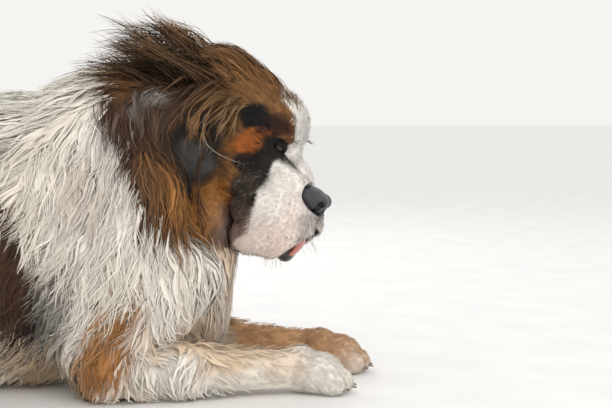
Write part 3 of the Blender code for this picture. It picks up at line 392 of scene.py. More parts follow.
def ellipsoid(name, mass, matrix=None, segments=28):
    shape = Matrix.Translation(mass.centre) @ Matrix.Rotation(math.radians(mass.turn), 4, "Y")
    shape = shape @ Matrix.Diagonal((*mass.radii, 1))
    bm = bmesh.new()
    bmesh.ops.create_uvsphere(
        bm, u_segments=segments, v_segments=segments * 2 // 3, radius=1, matrix=(matrix or Matrix()) @ shape,
    )
    return object_from_bmesh(name, bm)


def spline(stations, steps=5):
    """Stations on a smooth curve through the given ones."""
    ends = (stations[0], *stations, stations[-1])
    made = []
    for i in range(1, len(ends) - 2):
        before, start, end, after = ends[i - 1: i + 3]
        for step in range(steps):
            t = step / steps
            made.append(Station(*(
                0.5 * (2 * s + (e - b) * t + (2 * b - 5 * s + 4 * e - a) * t ** 2
                       + (3 * s - b - 3 * e + a) * t ** 3)
                for b, s, e, a in zip(before, start, end, after)
            )))
    return [*made, stations[-1]]


def limb(name, stations, side=1, matrix=None, ring=28, steps=5):
    """A closed tube through the stations, rounded at both ends."""
    path = spline(stations, steps)
    points = [Vector((s.x, s.y * side, s.z)) for s in path]
    bm = bmesh.new()
    rings = []
    for i, (point, station) in enumerate(zip(points, path)):
        along = (points[min(i + 1, len(points) - 1)] - points[max(i - 1, 0)]).normalized()
        across = (Vector((0, 1, 0)) - along * along.y).normalized()
        up = along.cross(across)
        wide, high = station.half_width, station.half_height
        sections = [(0.0, 1.0)]
        if i == 0:
            sections = [(-0.55, 0.55), (-0.35, 0.82), (0.0, 1.0)]
        if i == len(points) - 1:
            sections = [(0.0, 1.0), (0.35, 0.82), (0.55, 0.55)]
        for offset, size in sections:
            centre = point + along * offset * min(wide, high)
            rings.append([
                bm.verts.new(centre + across * wide * size * math.cos(a) + up * high * size * math.sin(a))
                for a in (2 * math.pi * k / ring for k in range(ring))
            ])
    for first, second in zip(rings, rings[1:]):
        for k in range(ring):
            bm.faces.new((first[k], first[(k + 1) % ring], second[(k + 1) % ring], second[k]))
    bm.faces.new(rings[0])
    bm.faces.new(rings[-1])
    if matrix:
        bm.transform(matrix)
    return object_from_bmesh(name, bm)


def apply_modifiers(obj):
    bpy.context.view_layer.update()
    graph = bpy.context.evaluated_depsgraph_get()
    mesh = bpy.data.meshes.new_from_object(obj.evaluated_get(graph))
    obj.modifiers.clear()
    obj.data = mesh


def remove(obj):
    bpy.data.objects.remove(obj)


def fuse(name, pieces, voxel, smoothing):
    """One smooth skin round all the pieces, which are then removed."""
    bm = bmesh.new()
    for piece in pieces:
        bm.from_mesh(piece.data)
        remove(piece)
    obj = object_from_bmesh(name, bm)
    remesh = obj.modifiers.new("skin", "REMESH")
    remesh.mode = "VOXEL"
    remesh.voxel_size = voxel
    smooth = obj.modifiers.new("smooth", "SMOOTH")
    smooth.iterations = smoothing
    apply_modifiers(obj)
    return obj


def boolean(obj, other, operation):
    """Joins or cuts obj with another object, which is then removed."""
    modifier = obj.modifiers.new(operation.lower(), "BOOLEAN")
    modifier.operation = operation
    modifier.solver = "MANIFOLD"
    modifier.object = other
    apply_modifiers(obj)
    remove(other)


def flipped(place, side):
    """A place given for the left side, kept there (1) or moved to the right (-1)."""
    x, y, z = place
    return x, y * side, z


def masses(name, single, paired, matrix=None):
    both = [m._replace(centre=flipped(m.centre, side)) for m in paired for side in SIDES.values()]
    return [ellipsoid(f"{name}_{i}", m, matrix) for i, m in enumerate((*single, *both))]


def eye_frame(side):
    place = Matrix.Translation(flipped(EYE_PLACE, side))
    turn = Matrix.Rotation(math.radians(EYE_GAZE * side), 4, "Z")
    droop = Matrix.Rotation(math.radians(EYE_DROOP * side), 4, "X")
    return HEAD @ place @ turn @ droop


def flap(side):
    """An ear's flap: a cupped leaf that rises from its root, folds over and hangs."""
    rows, columns = 26, 18
    bm = bmesh.new()
    grid = []
    for i in range(rows):
        t = i / (rows - 1)
        row = []
        for j in range(columns):
            s = 2 * j / (columns - 1) - 1
            length = EAR_LENGTH * (1 - 0.28 * s * s)
            width = EAR_WIDTH * (0.74 + 0.34 * math.sin(math.pi * min(1, 1.15 * t)) - 0.10 * t * t)
            along = EAR_MIDDLE + width * s
            out = EAR_ROOT_SIDE + EAR_BULGE * math.sin(min(1.0, 1.7 * t) * math.pi / 2)
            out -= EAR_CUP * s * s * t + 0.012 * t + 0.030 * s * s * (1 - t) ** 3
            drop = EAR_TOP + EAR_BURR * math.sin(math.pi * min(1.0, 2.2 * t)) - length * t
            row.append(bm.verts.new((along, out * side, drop)))
        grid.append(row)
    for first, second in zip(grid, grid[1:]):
        for j in range(columns - 1):
            bm.faces.new((first[j], first[j + 1], second[j + 1], second[j]))
    bm.transform(head_matrix(pitched=False))
    ear = object_from_bmesh("ear", bm)
    solid = ear.modifiers.new("leather", "SOLIDIFY")
    solid.thickness = EAR_THICKNESS
    solid.offset = 0
    apply_modifiers(ear)
    return ear


def build_head():
    pieces = masses("head_mass", HEAD_MASSES, PAIRED_HEAD_MASSES, HEAD)
    pieces += [limb("muzzle", MUZZLE, matrix=HEAD), flap(-1), flap(1)]
    head = fuse("head_skin", pieces, HEAD_VOXEL, 5)
    for side in SIDES.values():
        matrix = eye_frame(side)
        size = EYE_RADIUS + LID_THICKNESS
        boolean(head, ellipsoid("lid", Mass((0, 0, 0), (size, size * 1.12, size), 0), matrix, 40), "UNION")
        slit = Mass((size, 0, -0.001), (0.011, 0.0125, LID_OPENING), 0)
        boolean(head, ellipsoid("slit", slit, matrix, 32), "DIFFERENCE")
    for cut in (MOUTH, LIP_EDGE, NOSE_ROOM):
        boolean(head, ellipsoid("cut", cut, HEAD, 64), "DIFFERENCE")
    boolean(head, limb("philtrum", PHILTRUM, matrix=HEAD, ring=12), "DIFFERENCE")
    return head


def paw_matrix(paw):
    matrix = Matrix.Translation((paw.x, paw.y, 0)) @ Matrix.Rotation(math.radians(paw.heading), 4, "Z")
    return matrix @ Matrix.Diagonal((paw.scale, paw.scale, paw.scale, 1))


def build_paw(paw):
    matrix = paw_matrix(paw)
    pieces = [
        ellipsoid("pad", Mass((0, 0, PAW_RADII.z * 0.92), PAW_RADII, 0), matrix),
        ellipsoid("wrist", Mass((-0.034, 0, 0.042), (0.036, 0.040, 0.039), 0), matrix),
    ]
    for spread, reach in zip(TOE_SPREAD, TOE_REACH):
        pieces.append(ellipsoid("toe", Mass((reach, spread, TOE_RADII.z * 1.15), TOE_RADII, 12), matrix))
    return fuse("paw", pieces, PAW_VOXEL, 2)


def build_body():
    pieces = [limb("trunk", TRUNK, ring=40), limb("neck", NECK, ring=36), limb("tail", TAIL)]
    pieces += masses("mass", BODY_MASSES, PAIRED_MASSES)
    for word, side in SIDES.items():
        for stations in (UPPER_ARM, FOREARMS[word], THIGH, SHANK, METATARSUS):
            pieces.append(limb("leg", stations, side))
    return fuse("body_skin", pieces, BODY_VOXEL, 10)


def build_skin():
    skin = build_body()
    for piece in (build_head(), *map(build_paw, (*FOREPAWS.values(), *HINDPAWS.values()))):
        boolean(skin, piece, "UNION")
    bm = bmesh.new()
    below = Matrix.Translation(FLOOR_CUT_AT) @ Matrix.Diagonal((*FLOOR_CUT_SIZE, 1))
    bmesh.ops.create_cube(bm, size=1, matrix=below)
    boolean(skin, object_from_bmesh("floor_cut", bm), "DIFFERENCE")
    skin.name = "skin"
    return skin


# --- markings and painted light ---

WAVES = rng.normal(size=(64, 3))
PHASES = rng.uniform(0, 2 * math.pi, 64)


def wobble(points, scale, start=0, count=8):
    """Smooth noise from -1 to 1: a sum of waves in several directions, about scale metres long."""
    turns = points @ (WAVES[start:start + count].T * (2.6 / scale)) + PHASES[start:start + count]
    return np.sin(turns).sum(1) / math.sqrt(count)


def smooth_step(x):
    x = np.clip(x, 0, 1)
    return x * x * (3 - 2 * x)


# A patch of colour, mostly a marking; two ear rows are painted shade and a painted highlight. Its centre in
# the head's frame or the dog's, radii, turn about Y, soft edge, noise, colour and strength
Patch = namedtuple("Patch", "centre radii turn edge rough colour strength")
BODY_PATCHES = table(Patch,
    ((-0.800, 0, 0.33), (0.265, 0.9, 0.36), 0, 0.10, 0.10, RED_BROWN, 1),
    ((-0.585, 0.2, 0.17), (0.165, 0.25, 0.170), 0, 0.10, 0.12, BROWN, 1),
    ((-0.83, 0, 0.42), (0.22, 0.9, 0.22), 0, 0.30, 0.25, BROWN, 0.9),
    ((-0.455, 0.2, 0.11), (0.042, 0.25, 0.11), 15, 0.35, 0.25, BLACK, 0.7),
    ((-0.70, 0, 0.00), (0.40, 0.9, 0.085), 0, 0.3, 0.2, CREAM, 1),
    ((-0.46, 0.2, 0.035), (0.10, 0.2, 0.045), 0, 0.4, 0.3, TAN, 0.75),
    ((-1.00, 0, 0.10), (0.12, 0.12, 0.16), 0, 0.3, 0.2, CREAM, 1),
    ((-1.06, 0, 0.20), (0.10, 0.12, 0.09), 0, 0.3, 0.2, RED_BROWN, 1),
    ((-1.15, -0.02, 0.08), (0.10, 0.12, 0.12), 0, 0.3, 0.2, BROWN, 1),
    ((-0.330, 0.20, 0.085), (0.052, 0.10, 0.072), 20, 0.30, 0.30, RUST, 0.97),
    ((-0.36, 0.2, 0.03), (0.06, 0.2, 0.030), 0, 0.4, 0.3, RUST, 0.6),
    ((-0.385, 0.2, 0.34), (0.035, 0.1, 0.060), 10, 0.8, 0.5, TAN, 0.30),
    ((-0.320, 0.2, 0.52), (0.035, 0.2, 0.050), 0, 0.8, 0.5, TAN, 0.40),
    ((-0.15, 0.12, 0.085), (0.15, 0.09, 0.035), 8, 0.6, 0.3, PEACH, 0.8),
    ((-0.12, 0, 0.17), (0.05, 0.10, 0.07), 0, 0.6, 0.3, PEACH, 0.5),
    ((-0.125, 0, 0.245), (0.070, 0.12, 0.055), 0, 0.6, 0.3, PEACH, 0.55),
)
FAR_FORELEG = Patch((-0.02, 0.10, 0.05), (0.17, 0.075, 0.08), 0, 0.25, 0.2, FAWN, 0.95)
HEAD_PATCHES = table(Patch,
    ((-0.130, 0, 0.070), (0.130, 0.30, 0.075), 0, 0.35, 0.25, CROWN_BROWN, 1),
    ((-0.045, 0, -0.150), (0.060, 0.30, 0.085), 20, 0.35, 0.25, ORANGE, 1),
    ((-0.195, 0.1, -0.060), (0.070, 0.30, 0.120), 30, 0.35, 0.30, BROWN, 0.95),
)
MASK_PATCHES = table(Patch,
    ((-0.052, 0.080, 0.022), (0.046, 0.060, 0.024), -12, 0.25, 0.25, BLACK, 1),
    ((-0.022, 0.070, 0.034), (0.024, 0.040, 0.018), 0, 0.5, 0.3, (0.045, 0.020, 0.012), 0.95),
    ((-0.045, 0.085, -0.024), (0.031, 0.040, 0.0175), -51, 0.35, 0.30, DEEP_ORANGE, 1),
    ((-0.003, 0.080, -0.100), (0.020, 0.040, 0.055), 10, 0.5, 0.3, (0.060, 0.048, 0.040), 0.85),
)
EAR_PATCHES_AND_PAINTED_LIGHT = table(Patch,
    ((-0.125, 0.135, -0.010), (0.090, 0.046, 0.085), 0, 0.25, 0.2, (0.085, 0.050, 0.030), 1),
    # Painted shadow: a near-black ring round and under the ear lobe
    ((-0.085, 0.135, -0.080), (0.076, 0.046, 0.056), 30, 0.3, 0.2, (0.020, 0.016, 0.014), 1),
    # The lobe's grey: partly its own colour, partly a painted highlight on its lower rim
    ((-0.086, 0.135, -0.090), (0.048, 0.046, 0.030), 30, 0.15, 0.15, (0.080, 0.075, 0.070), 1),
    ((-0.212, 0.100, -0.090), (0.022, 0.060, 0.060), 0, 0.5, 0.3, (0.46, 0.44, 0.42), 0.8),
)
MUZZLE_TINTS = table(Patch,
    ((0.105, 0.03, -0.100), (0.045, 0.050, 0.050), 0, 0.9, 0.3, PINK, 0.45),
    ((0.070, 0.06, -0.165), (0.070, 0.030, 0.040), 0, 0.8, 0.3, PINK, 0.45),
    ((0.100, 0, -0.048), (0.036, 0.042, 0.030), 0, 0.5, 0.2, GREY, 0.8),
    ((0.128, 0.02, -0.085), (0.024, 0.045, 0.050), 0, 0.6, 0.3, GREY, 0.55),
)
# The white face's rear edge and the black mask's, in the head's frame: how far forward at each height
WHITE_EDGE = (
    (-0.19, 0.025), (-0.155, 0.044), (-0.138, 0.038), (-0.105, 0.025), (-0.08, 0.016), (-0.04, 0.018),
    (-0.018, 0.016), (0.003, 0.006), (0.03, -0.008), (0.045, -0.023), (0.055, -0.038), (0.07, -0.055),
)
MASK_EDGE = (
    (-0.20, 0.005), (-0.185, -0.003), (-0.125, -0.020), (-0.070, -0.030), (-0.062, -0.042), (0.0, -0.062),
)
BLAZE_HALF_WIDTH = 0.038
BLAZE_TOP = -0.062
LID_SETBACK = 0.005
LID_REACH = 0.0205


def paint(colour, points, patch, start):
    """Mixes a patch's colour in where points lie in its ellipsoid, on both sides, with a noisy edge."""
    local = points.copy()
    local[:, 1] = np.abs(local[:, 1])
    local -= np.array(patch.centre)
    a = math.radians(patch.turn)
    x = local[:, 0] * math.cos(a) - local[:, 2] * math.sin(a)
    z = local[:, 0] * math.sin(a) + local[:, 2] * math.cos(a)
    r = np.sqrt((x / patch.radii[0]) ** 2 + (local[:, 1] / patch.radii[1]) ** 2 + (z / patch.radii[2]) ** 2)
    r += patch.rough * wobble(points, min(patch.radii[0], patch.radii[2]) * 1.2, start % 56)
    mix_in(colour, patch.colour, smooth_step((1 + patch.edge - r) / (2 * patch.edge)) * patch.strength)


def mix_in(colour, other, share):
    colour += (np.array(other) - colour) * share[:, None]


def edge_share(inside, soft):
    """0 to 1 across a soft edge that is 2 * soft wide, from a distance in metres."""
    return smooth_step(0.5 + inside / (2 * soft))


def in_head(points):
    inverse = np.array(HEAD.inverted())
    return points @ inverse[:3, :3].T + inverse[:3, 3]


def behind_ears(local):
    """How far points lie in front of the slanted line behind the ears."""
    return local[:, 2] + 0.5 * local[:, 0] + 0.252


def head_share(points, local):
    """1 where the head's colours are, in front of the line behind the ears, 0 on the neck and body."""
    below = local[:, 2] + 0.227 - 0.22 * (local[:, 0] + 0.05)
    return edge_share(np.minimum(behind_ears(local), below) + 0.006 * wobble(points, 0.05, 11), 0.008)


def mouth_share(local, grow):
    """1 inside the mouth's opening grown by this much, 0 outside."""
    apart = (local - np.array(MOUTH.centre)) / (np.array(MOUTH.radii) + grow)
    return edge_share(0.02 * (1 - np.linalg.norm(apart, axis=1)), 0.0004)


def face(local):
    """The head's colours in its own frame."""
    colour = np.tile(np.array(HEAD_BROWN), (len(local), 1))
    for i, patch in enumerate(HEAD_PATCHES):
        paint(colour, local, patch, i * 7)
    streaks = wobble(local * (0.35, 1, 1) + local[:, 2:] * (0.9, 0, 0), 0.006, 14)
    mix_in(colour, BROWN, 0.45 * edge_share(0.01 * streaks - 0.002, 0.005))
    from_line = behind_ears(local) - 0.012 * wobble(local, 0.04, 17)
    mix_in(colour, BROWN, 0.85 * edge_share(0.034 - from_line, 0.016))
    mask_at = np.interp(local[:, 2], *zip(*MASK_EDGE)) + 0.006 * wobble(local, 0.03, 23)
    below_brow = edge_share(0.012 - local[:, 2], 0.006) * edge_share(local[:, 2] + 0.205, 0.008)
    mix_in(colour, BLACK, edge_share(local[:, 0] - mask_at, 0.007) * below_brow * 0.96)
    for i, patch in enumerate(MASK_PATCHES):
        paint(colour, local, patch, 20 + i * 7)
    grizzle = edge_share(wobble(local, 0.0035, 30) * 0.01 - 0.008, 0.004)
    band = edge_share(0.045 - np.abs(local[:, 2] + 0.095), 0.015) * edge_share(0.012 - local[:, 0], 0.004)
    mix_in(colour, GRIZZLE, grizzle * band * edge_share(local[:, 0] - mask_at, 0.006) * 0.6)
    white_at = np.interp(local[:, 2], *zip(*WHITE_EDGE)) + 0.003 * wobble(local, 0.03, 37)
    side_white = edge_share(local[:, 0] - white_at, 0.0035)
    near_middle = edge_share(BLAZE_HALF_WIDTH - np.abs(local[:, 1]) + 0.002 * wobble(local, 0.03, 41), 0.004)
    side_white *= np.maximum(near_middle, edge_share(-0.018 - local[:, 2], 0.006))
    half = BLAZE_HALF_WIDTH * np.clip((local[:, 0] - BLAZE_TOP + 0.012) / 0.045, 0, 1)
    wide = edge_share(half - np.abs(local[:, 1]) + 0.003 * wobble(local, 0.03, 41), 0.004)
    top_white = wide * edge_share(local[:, 0] - BLAZE_TOP, 0.008) * edge_share(local[:, 2] + 0.03, 0.01)
    mix_in(colour, WHITE, np.maximum(side_white, top_white))
    for i, patch in enumerate(MUZZLE_TINTS):
        paint(colour, local, patch, 5 + i * 7)
    # Besides the ear's colours, the ear patches hold painted shadow round each lobe and a painted highlight
    # on it
    for patch in EAR_PATCHES_AND_PAINTED_LIGHT:
        paint(colour, local, patch, 44)
    freckles = edge_share(wobble(local, 0.0040, 48) * 0.01 - 0.0150, 0.002)
    on_flew = edge_share(local[:, 0] - 0.055, 0.02) * edge_share(-0.04 - local[:, 2], 0.01)
    mix_in(colour, SLATE, freckles * on_flew * 0.8)
    rims = [(EYE_PLACE.x - LID_SETBACK, EYE_PLACE.y * side, EYE_PLACE.z) for side in SIDES.values()]
    from_rim = np.min([np.linalg.norm(local - rim, axis=1) for rim in rims], axis=0)
    mix_in(colour, BLACK, edge_share(LID_REACH - from_rim, 0.002))
    mix_in(colour, LIP_BLACK, mouth_share(local, 0.0035))
    return colour


def markings_and_painted_light(points):
    """The coat's colour at each point of the skin: its markings, with painted shade round the ear lobes and a
    painted highlight on them.
    """
    colour = np.tile(np.array(CREAM), (len(points), 1))
    mix_in(colour, WHITE, np.clip(0.45 + 0.40 * wobble(points, 0.12, 3), 0, 1))
    for i, patch in enumerate(BODY_PATCHES):
        paint(colour, points, patch, i * 5)
    left = points[:, 1] > 0
    far = colour[left]
    paint(far, points[left], FAR_FORELEG, 9)
    colour[left] = far
    local = in_head(points)
    share = head_share(points, local)
    on = share > 0
    colour[on] += (face(local[on]) - colour[on]) * share[on, None]
    return np.clip(colour, 0.004, 1)


# --- coat ---

# One number for a point given in micrometres
POINT_KEY = (1, 10 ** 7, 10 ** 12)
# The grid cell in which near neighbours are looked for
CELL = 0.04


def triangles_of(obj):
    mesh = obj.data
    mesh.calc_loop_triangles()
    index = np.empty(len(mesh.loop_triangles) * 3, np.int32)
    mesh.loop_triangles.foreach_get("vertices", index)
    return points_of(obj), index.reshape(-1, 3)


def in_fixed_order(points, index):
    """Triangles sorted by where they are, as a Boolean may list the same ones in another order next time."""
    key = np.rint(points * 1e6).astype(np.int64) @ POINT_KEY
    first = np.argmin(key[index], axis=1)
    rows = np.arange(len(index))
    index = np.stack([index[rows, (first + k) % 3] for k in range(3)], 1)
    return index[np.lexsort(key[index].T)]


def points_of(obj):
    points = np.empty(len(obj.data.vertices) * 3, np.float32)
    obj.data.vertices.foreach_get("co", points)
    return points.reshape(-1, 3).astype(float)


def unit(vectors):
    return vectors / np.maximum(np.linalg.norm(vectors, axis=-1, keepdims=True), 1e-9)


def lie_rows():
    made = []
    for lies, in_head_frame, paired in (
        (BODY_LIES, False, True), (FORELEG_LIES, False, True),
        (TAIL_LIES, False, False), (HEAD_LIES, True, True),
    ):
        for lie in lies:
            for side in (1, -1) if paired else (1,):
                place = np.array(lie.place) * (1, side, 1)
                way = unit(np.array(lie.lie, float)) * (1, side, 1)
                if in_head_frame:
                    place = HEAD_TURN @ place + HEAD_AT
                    way = HEAD_TURN @ way
                made.append((*place, *way, lie.length, lie.depth, lie.wave))
    return np.array(made)


FIELD = lie_rows()


def field_at(points):
    """The lie, length, depth and wave of the hair at each point, blended from the tables by nearness."""
    parts = []
    for chunk in np.array_split(points, max(1, len(points) // 20000)):
        apart = np.linalg.norm(chunk[:, None] - FIELD[None, :, :3], axis=2) + 0.008
        weight = apart ** -4
        weight /= weight.sum(1, keepdims=True)
        parts.append(weight @ FIELD[:, 3:])
    blended = np.concatenate(parts)
    return unit(blended[:, :3]), blended[:, 3], blended[:, 4], blended[:, 5]


# The skin under a thick coat stands where its underfur ends: this share of the depth beyond a thin first part
UNDERFUR_SHARE = 0.58
UNDERFUR_FROM = 0.012


def underfur(depth):
    return UNDERFUR_SHARE * np.clip(depth - UNDERFUR_FROM, 0, None)


class Surface:
    """The skin as a searchable surface with smooth normals."""

    def __init__(self, obj):
        self.points, index = triangles_of(obj)
        self.index = in_fixed_order(self.points, index)
        self.tree = BVHTree.FromPolygons(self.points.tolist(), self.index.tolist())
        corners = self.points[self.index]
        cross = np.cross(corners[:, 1] - corners[:, 0], corners[:, 2] - corners[:, 0])
        self.areas = np.linalg.norm(cross, axis=1) / 2
        self.centres = corners.mean(1)
        normals = np.zeros_like(self.points)
        for k in range(3):
            np.add.at(normals, self.index[:, k], cross)
        self.normals = unit(normals)
        self.face_normals = unit(normals[self.index].sum(1))

    def sample(self, count, wanted):
        """Points scattered on the faces, as many as the weight of each asks for."""
        weight = self.areas * wanted
        faces = rng.choice(len(weight), count, p=weight / weight.sum())
        u, v = rng.random((2, count))
        flip = u + v > 1
        u[flip], v[flip] = 1 - u[flip], 1 - v[flip]
        a, b, c = (self.points[self.index[faces, k]] for k in range(3))
        return a + (b - a) * u[:, None] + (c - a) * v[:, None], self.face_normals[faces]

    def nearest(self, points):
        places, normals = np.empty_like(points), np.empty_like(points)
        find = self.tree.find_nearest
        faces = self.face_normals
        for i, point in enumerate(points.tolist()):
            place, _, face, _ = find(point)
            places[i] = place
            normals[i] = faces[face]
        return places, normals


def thinned(points, room):
    """Indices of points that keep at least this room between them."""
    kept, cells = [], {}
    points = points.tolist()
    for i, point in enumerate(points):
        key = tuple(math.floor(c / CELL) for c in point)
        near = (
            j for dx in (-1, 0, 1) for dy in (-1, 0, 1) for dz in (-1, 0, 1)
            for j in cells.get((key[0] + dx, key[1] + dy, key[2] + dz), ())
        )
        if all(math.dist(point, points[j]) > room for j in near):
            cells.setdefault(key, []).append(i)
            kept.append(i)
    return np.array(kept)


def marched(surface, roots, steps, swing):
    """Paths that follow the lie of the hair over the skin: points and normals, steps + 1 of each."""
    _, length, depth, wave = field_at(roots)
    length = length * rng.uniform(0.85, 1.15, len(roots))
    place, normal = surface.nearest(roots)
    places, normals = [place], [normal]
    turn = rng.normal(0, swing, len(roots))
    for _ in range(steps):
        lie = field_at(place)[0]
        lie = unit(lie - normal * (lie * normal).sum(1, keepdims=True))
        lie = unit(lie + np.cross(normal, lie) * turn[:, None])
        place, normal = surface.nearest(place + lie * (length / steps)[:, None])
        normal = unit(normal + normals[-1])
        places.append(place)
        normals.append(normal)
    return np.stack(places, 1), np.stack(normals, 1), length, depth, wave


def resampled(values, count):
    """Values along a path at count even steps, with a smooth curve through them."""
    steps = values.shape[1] - 1
    t = np.linspace(0, steps, count)
    low = np.clip(np.floor(t).astype(int), 0, steps - 1)
    f = (t - low)[None, :, None]
    before = values[:, np.maximum(low - 1, 0)]
    start, end = values[:, low], values[:, low + 1]
    after = values[:, np.minimum(low + 2, steps)]
    return 0.5 * (2 * start + (end - before) * f + (2 * before - 5 * start + 4 * end - after) * f ** 2
                  + (3 * start - before - 3 * end + after) * f ** 3)


Strands = namedtuple("Strands", "paths normals widths roots colours")
# Strands wider than this are halved on the head
FINE_WIDTH = 0.001
# How near each other clumps may root for their share of the area, and how far their strands spread; how many
# places are tried for each clump; how far a wavy strand sways for its length, and how deep it is rooted
CLUMP_ROOM = 0.72
CLUMP_SPREAD = 0.9
CANDIDATES = 3
SWAY = 0.070
ROOT_SUNK = 0.003
MARCH_STEPS = 6


def hair(surface, clumps, per_clump, rings, width, wanted, lift, stray=0.05, swing=0.18, gather=(0.25, 0.8),
         colour_at=(0.35, 0.8)):
    """Clumps of strands rooted where wanted, each clump drawn together along a path over the skin."""
    candidates, _ = surface.sample(clumps * CANDIDATES, wanted)
    area = (surface.areas * (wanted > 0)).sum()
    room = math.sqrt(area / clumps) * CLUMP_ROOM
    kept = thinned(candidates, room)[:clumps]
    guides, guide_normals, length, depth, wave = marched(surface, candidates[kept], MARCH_STEPS, swing)
    t = np.linspace(0, 1, rings + 1)
    guides = resampled(guides, rings + 1)
    guide_normals = unit(resampled(guide_normals, rings + 1))
    which = np.repeat(np.arange(len(kept)), per_clump)
    n = len(which)
    guide, normal = guides[which], guide_normals[which]
    along = unit(np.gradient(guide, axis=1))
    side = unit(np.cross(normal, along))
    angle, reach = rng.uniform(0, 2 * math.pi, n), np.sqrt(rng.random(n)) * room * CLUMP_SPREAD
    offset = side[:, 0] * (np.cos(angle) * reach)[:, None] + along[:, 0] * (np.sin(angle) * reach)[:, None]
    roots, _ = surface.nearest(guide[:, 0] + offset)
    offset = roots - guide[:, 0]
    drawn = rng.uniform(*gather, len(kept))[which][:, None] * smooth_step(t * 1.1)
    paths = guide + offset[:, None] * (1 - drawn)[..., None]
    rise = depth[which] * rng.uniform(*lift, n) - underfur(depth[which])
    profile = 1 - (1 - t) ** 1.8
    sway = wave[which] * length[which] * SWAY
    clump_phase = rng.uniform(0, 2 * math.pi, len(kept))[which] + rng.normal(0, 0.35, n)
    turns = 2 * math.pi * (1.1 + 0.5 * rng.random(len(kept))[which])
    swayed = np.sin(turns[:, None] * t + clump_phase[:, None]) - np.sin(clump_phase)[:, None]
    paths += normal * (rise[:, None] * profile)[..., None]
    paths += side * (sway[:, None] * swayed * t ** 0.5)[..., None]
    astray = rng.normal(0, 1, (n, 3)) * (length[which] * stray)[:, None]
    paths += astray[:, None] * (t ** 2)[None, :, None]
    paths -= normal[:, :1] * np.where(t == 0, ROOT_SUNK, 0)[None, :, None]
    widths = width * rng.uniform(0.7, 1.3, n)[:, None] * profile_width(t)[None]
    if width > FINE_WIDTH:
        widths *= 1 - 0.5 * head_share(roots, in_head(roots))[:, None]
    seen = np.rint(rng.uniform(*colour_at, n) * rings).astype(int)
    colours = markings_and_painted_light(paths[np.arange(n), seen])
    shade = np.repeat(rng.normal(0, 0.6, len(kept)), per_clump) + rng.normal(0, 0.8, n)
    uneven = 0.04 + 0.30 * np.clip(1 - colours.max(1) / 0.6, 0, 1)
    colours *= np.clip(1 + shade * uneven, 0.4, 2)[:, None]
    return Strands(paths, normal, widths, roots, colours)


def profile_width(t):
    return (0.55 + 0.45 * np.clip(t / 0.3, 0, 1)) * (1 - 0.78 * np.clip((t - 0.45) / 0.55, 0, 1) ** 1.5)


def atlas(points):
    """Where roots lie on the unwrapped skin: along and round the nearest limb, each in its own strip."""
    limbs = [(TRUNK, 1, 0.30), (NECK, 1, 0.16), (TAIL, 1, 0.07)]
    for word, side in SIDES.items():
        limbs += [(UPPER_ARM + FOREARMS[word], side, 0.07)]
        limbs += [(THIGH, side, 0.05), (SHANK + METATARSUS, side, 0.05)]
    best = np.full(len(points), 1e9)
    uv = np.zeros((len(points), 2))
    floor = 0.0
    for stations, side, tall in limbs:
        path = np.array([(s.x, s.y * side, s.z, (s.half_width + s.half_height) / 2) for s in stations])
        total = len(path) - 1
        for k in range(total):
            a, b = path[k], path[k + 1]
            way = b[:3] - a[:3]
            t = np.clip((points - a[:3]) @ way / (way @ way), 0, 1)
            from_axis = points - (a[:3] + t[:, None] * way)
            apart = np.linalg.norm(from_axis, axis=1) / (a[3] + (b[3] - a[3]) * t)
            better = apart < best
            best[better] = apart[better]
            across = unit(np.cross(way, (0, 0, 1.0)))
            up = np.cross(across, way / np.linalg.norm(way))
            angle = np.arctan2(from_axis @ across, from_axis @ up) / (2 * math.pi) + 0.5
            place = np.stack([(k + t) / total, floor + tall * angle], 1)
            uv[better] = place[better]
        floor += tall
    local = in_head(points)
    on_head = head_share(points, local) > 0.5
    angle = np.arctan2(local[:, 1], local[:, 2] + 0.06) / (2 * math.pi) + 0.5
    along = np.clip((local[:, 0] + 0.23) / 0.37, 0, 1)
    uv[on_head] = np.stack([along, floor + (1 - floor) * angle], 1)[on_head]
    return 0.01 + uv * 0.98


PATCH_SIZE = 0.003
GRAIN_WIDTH = 0.0009
GRAIN_LENGTH = 0.030
# How low a strand's path and its surface may reach
LOWEST_PATH = 0.002
LOWEST_POINT = 0.0005


def set_colours(mesh, rgba):
    layer = mesh.color_attributes.new("coat", "FLOAT_COLOR", "POINT")
    layer.data.foreach_set("color", rgba.reshape(-1).astype(np.float32))


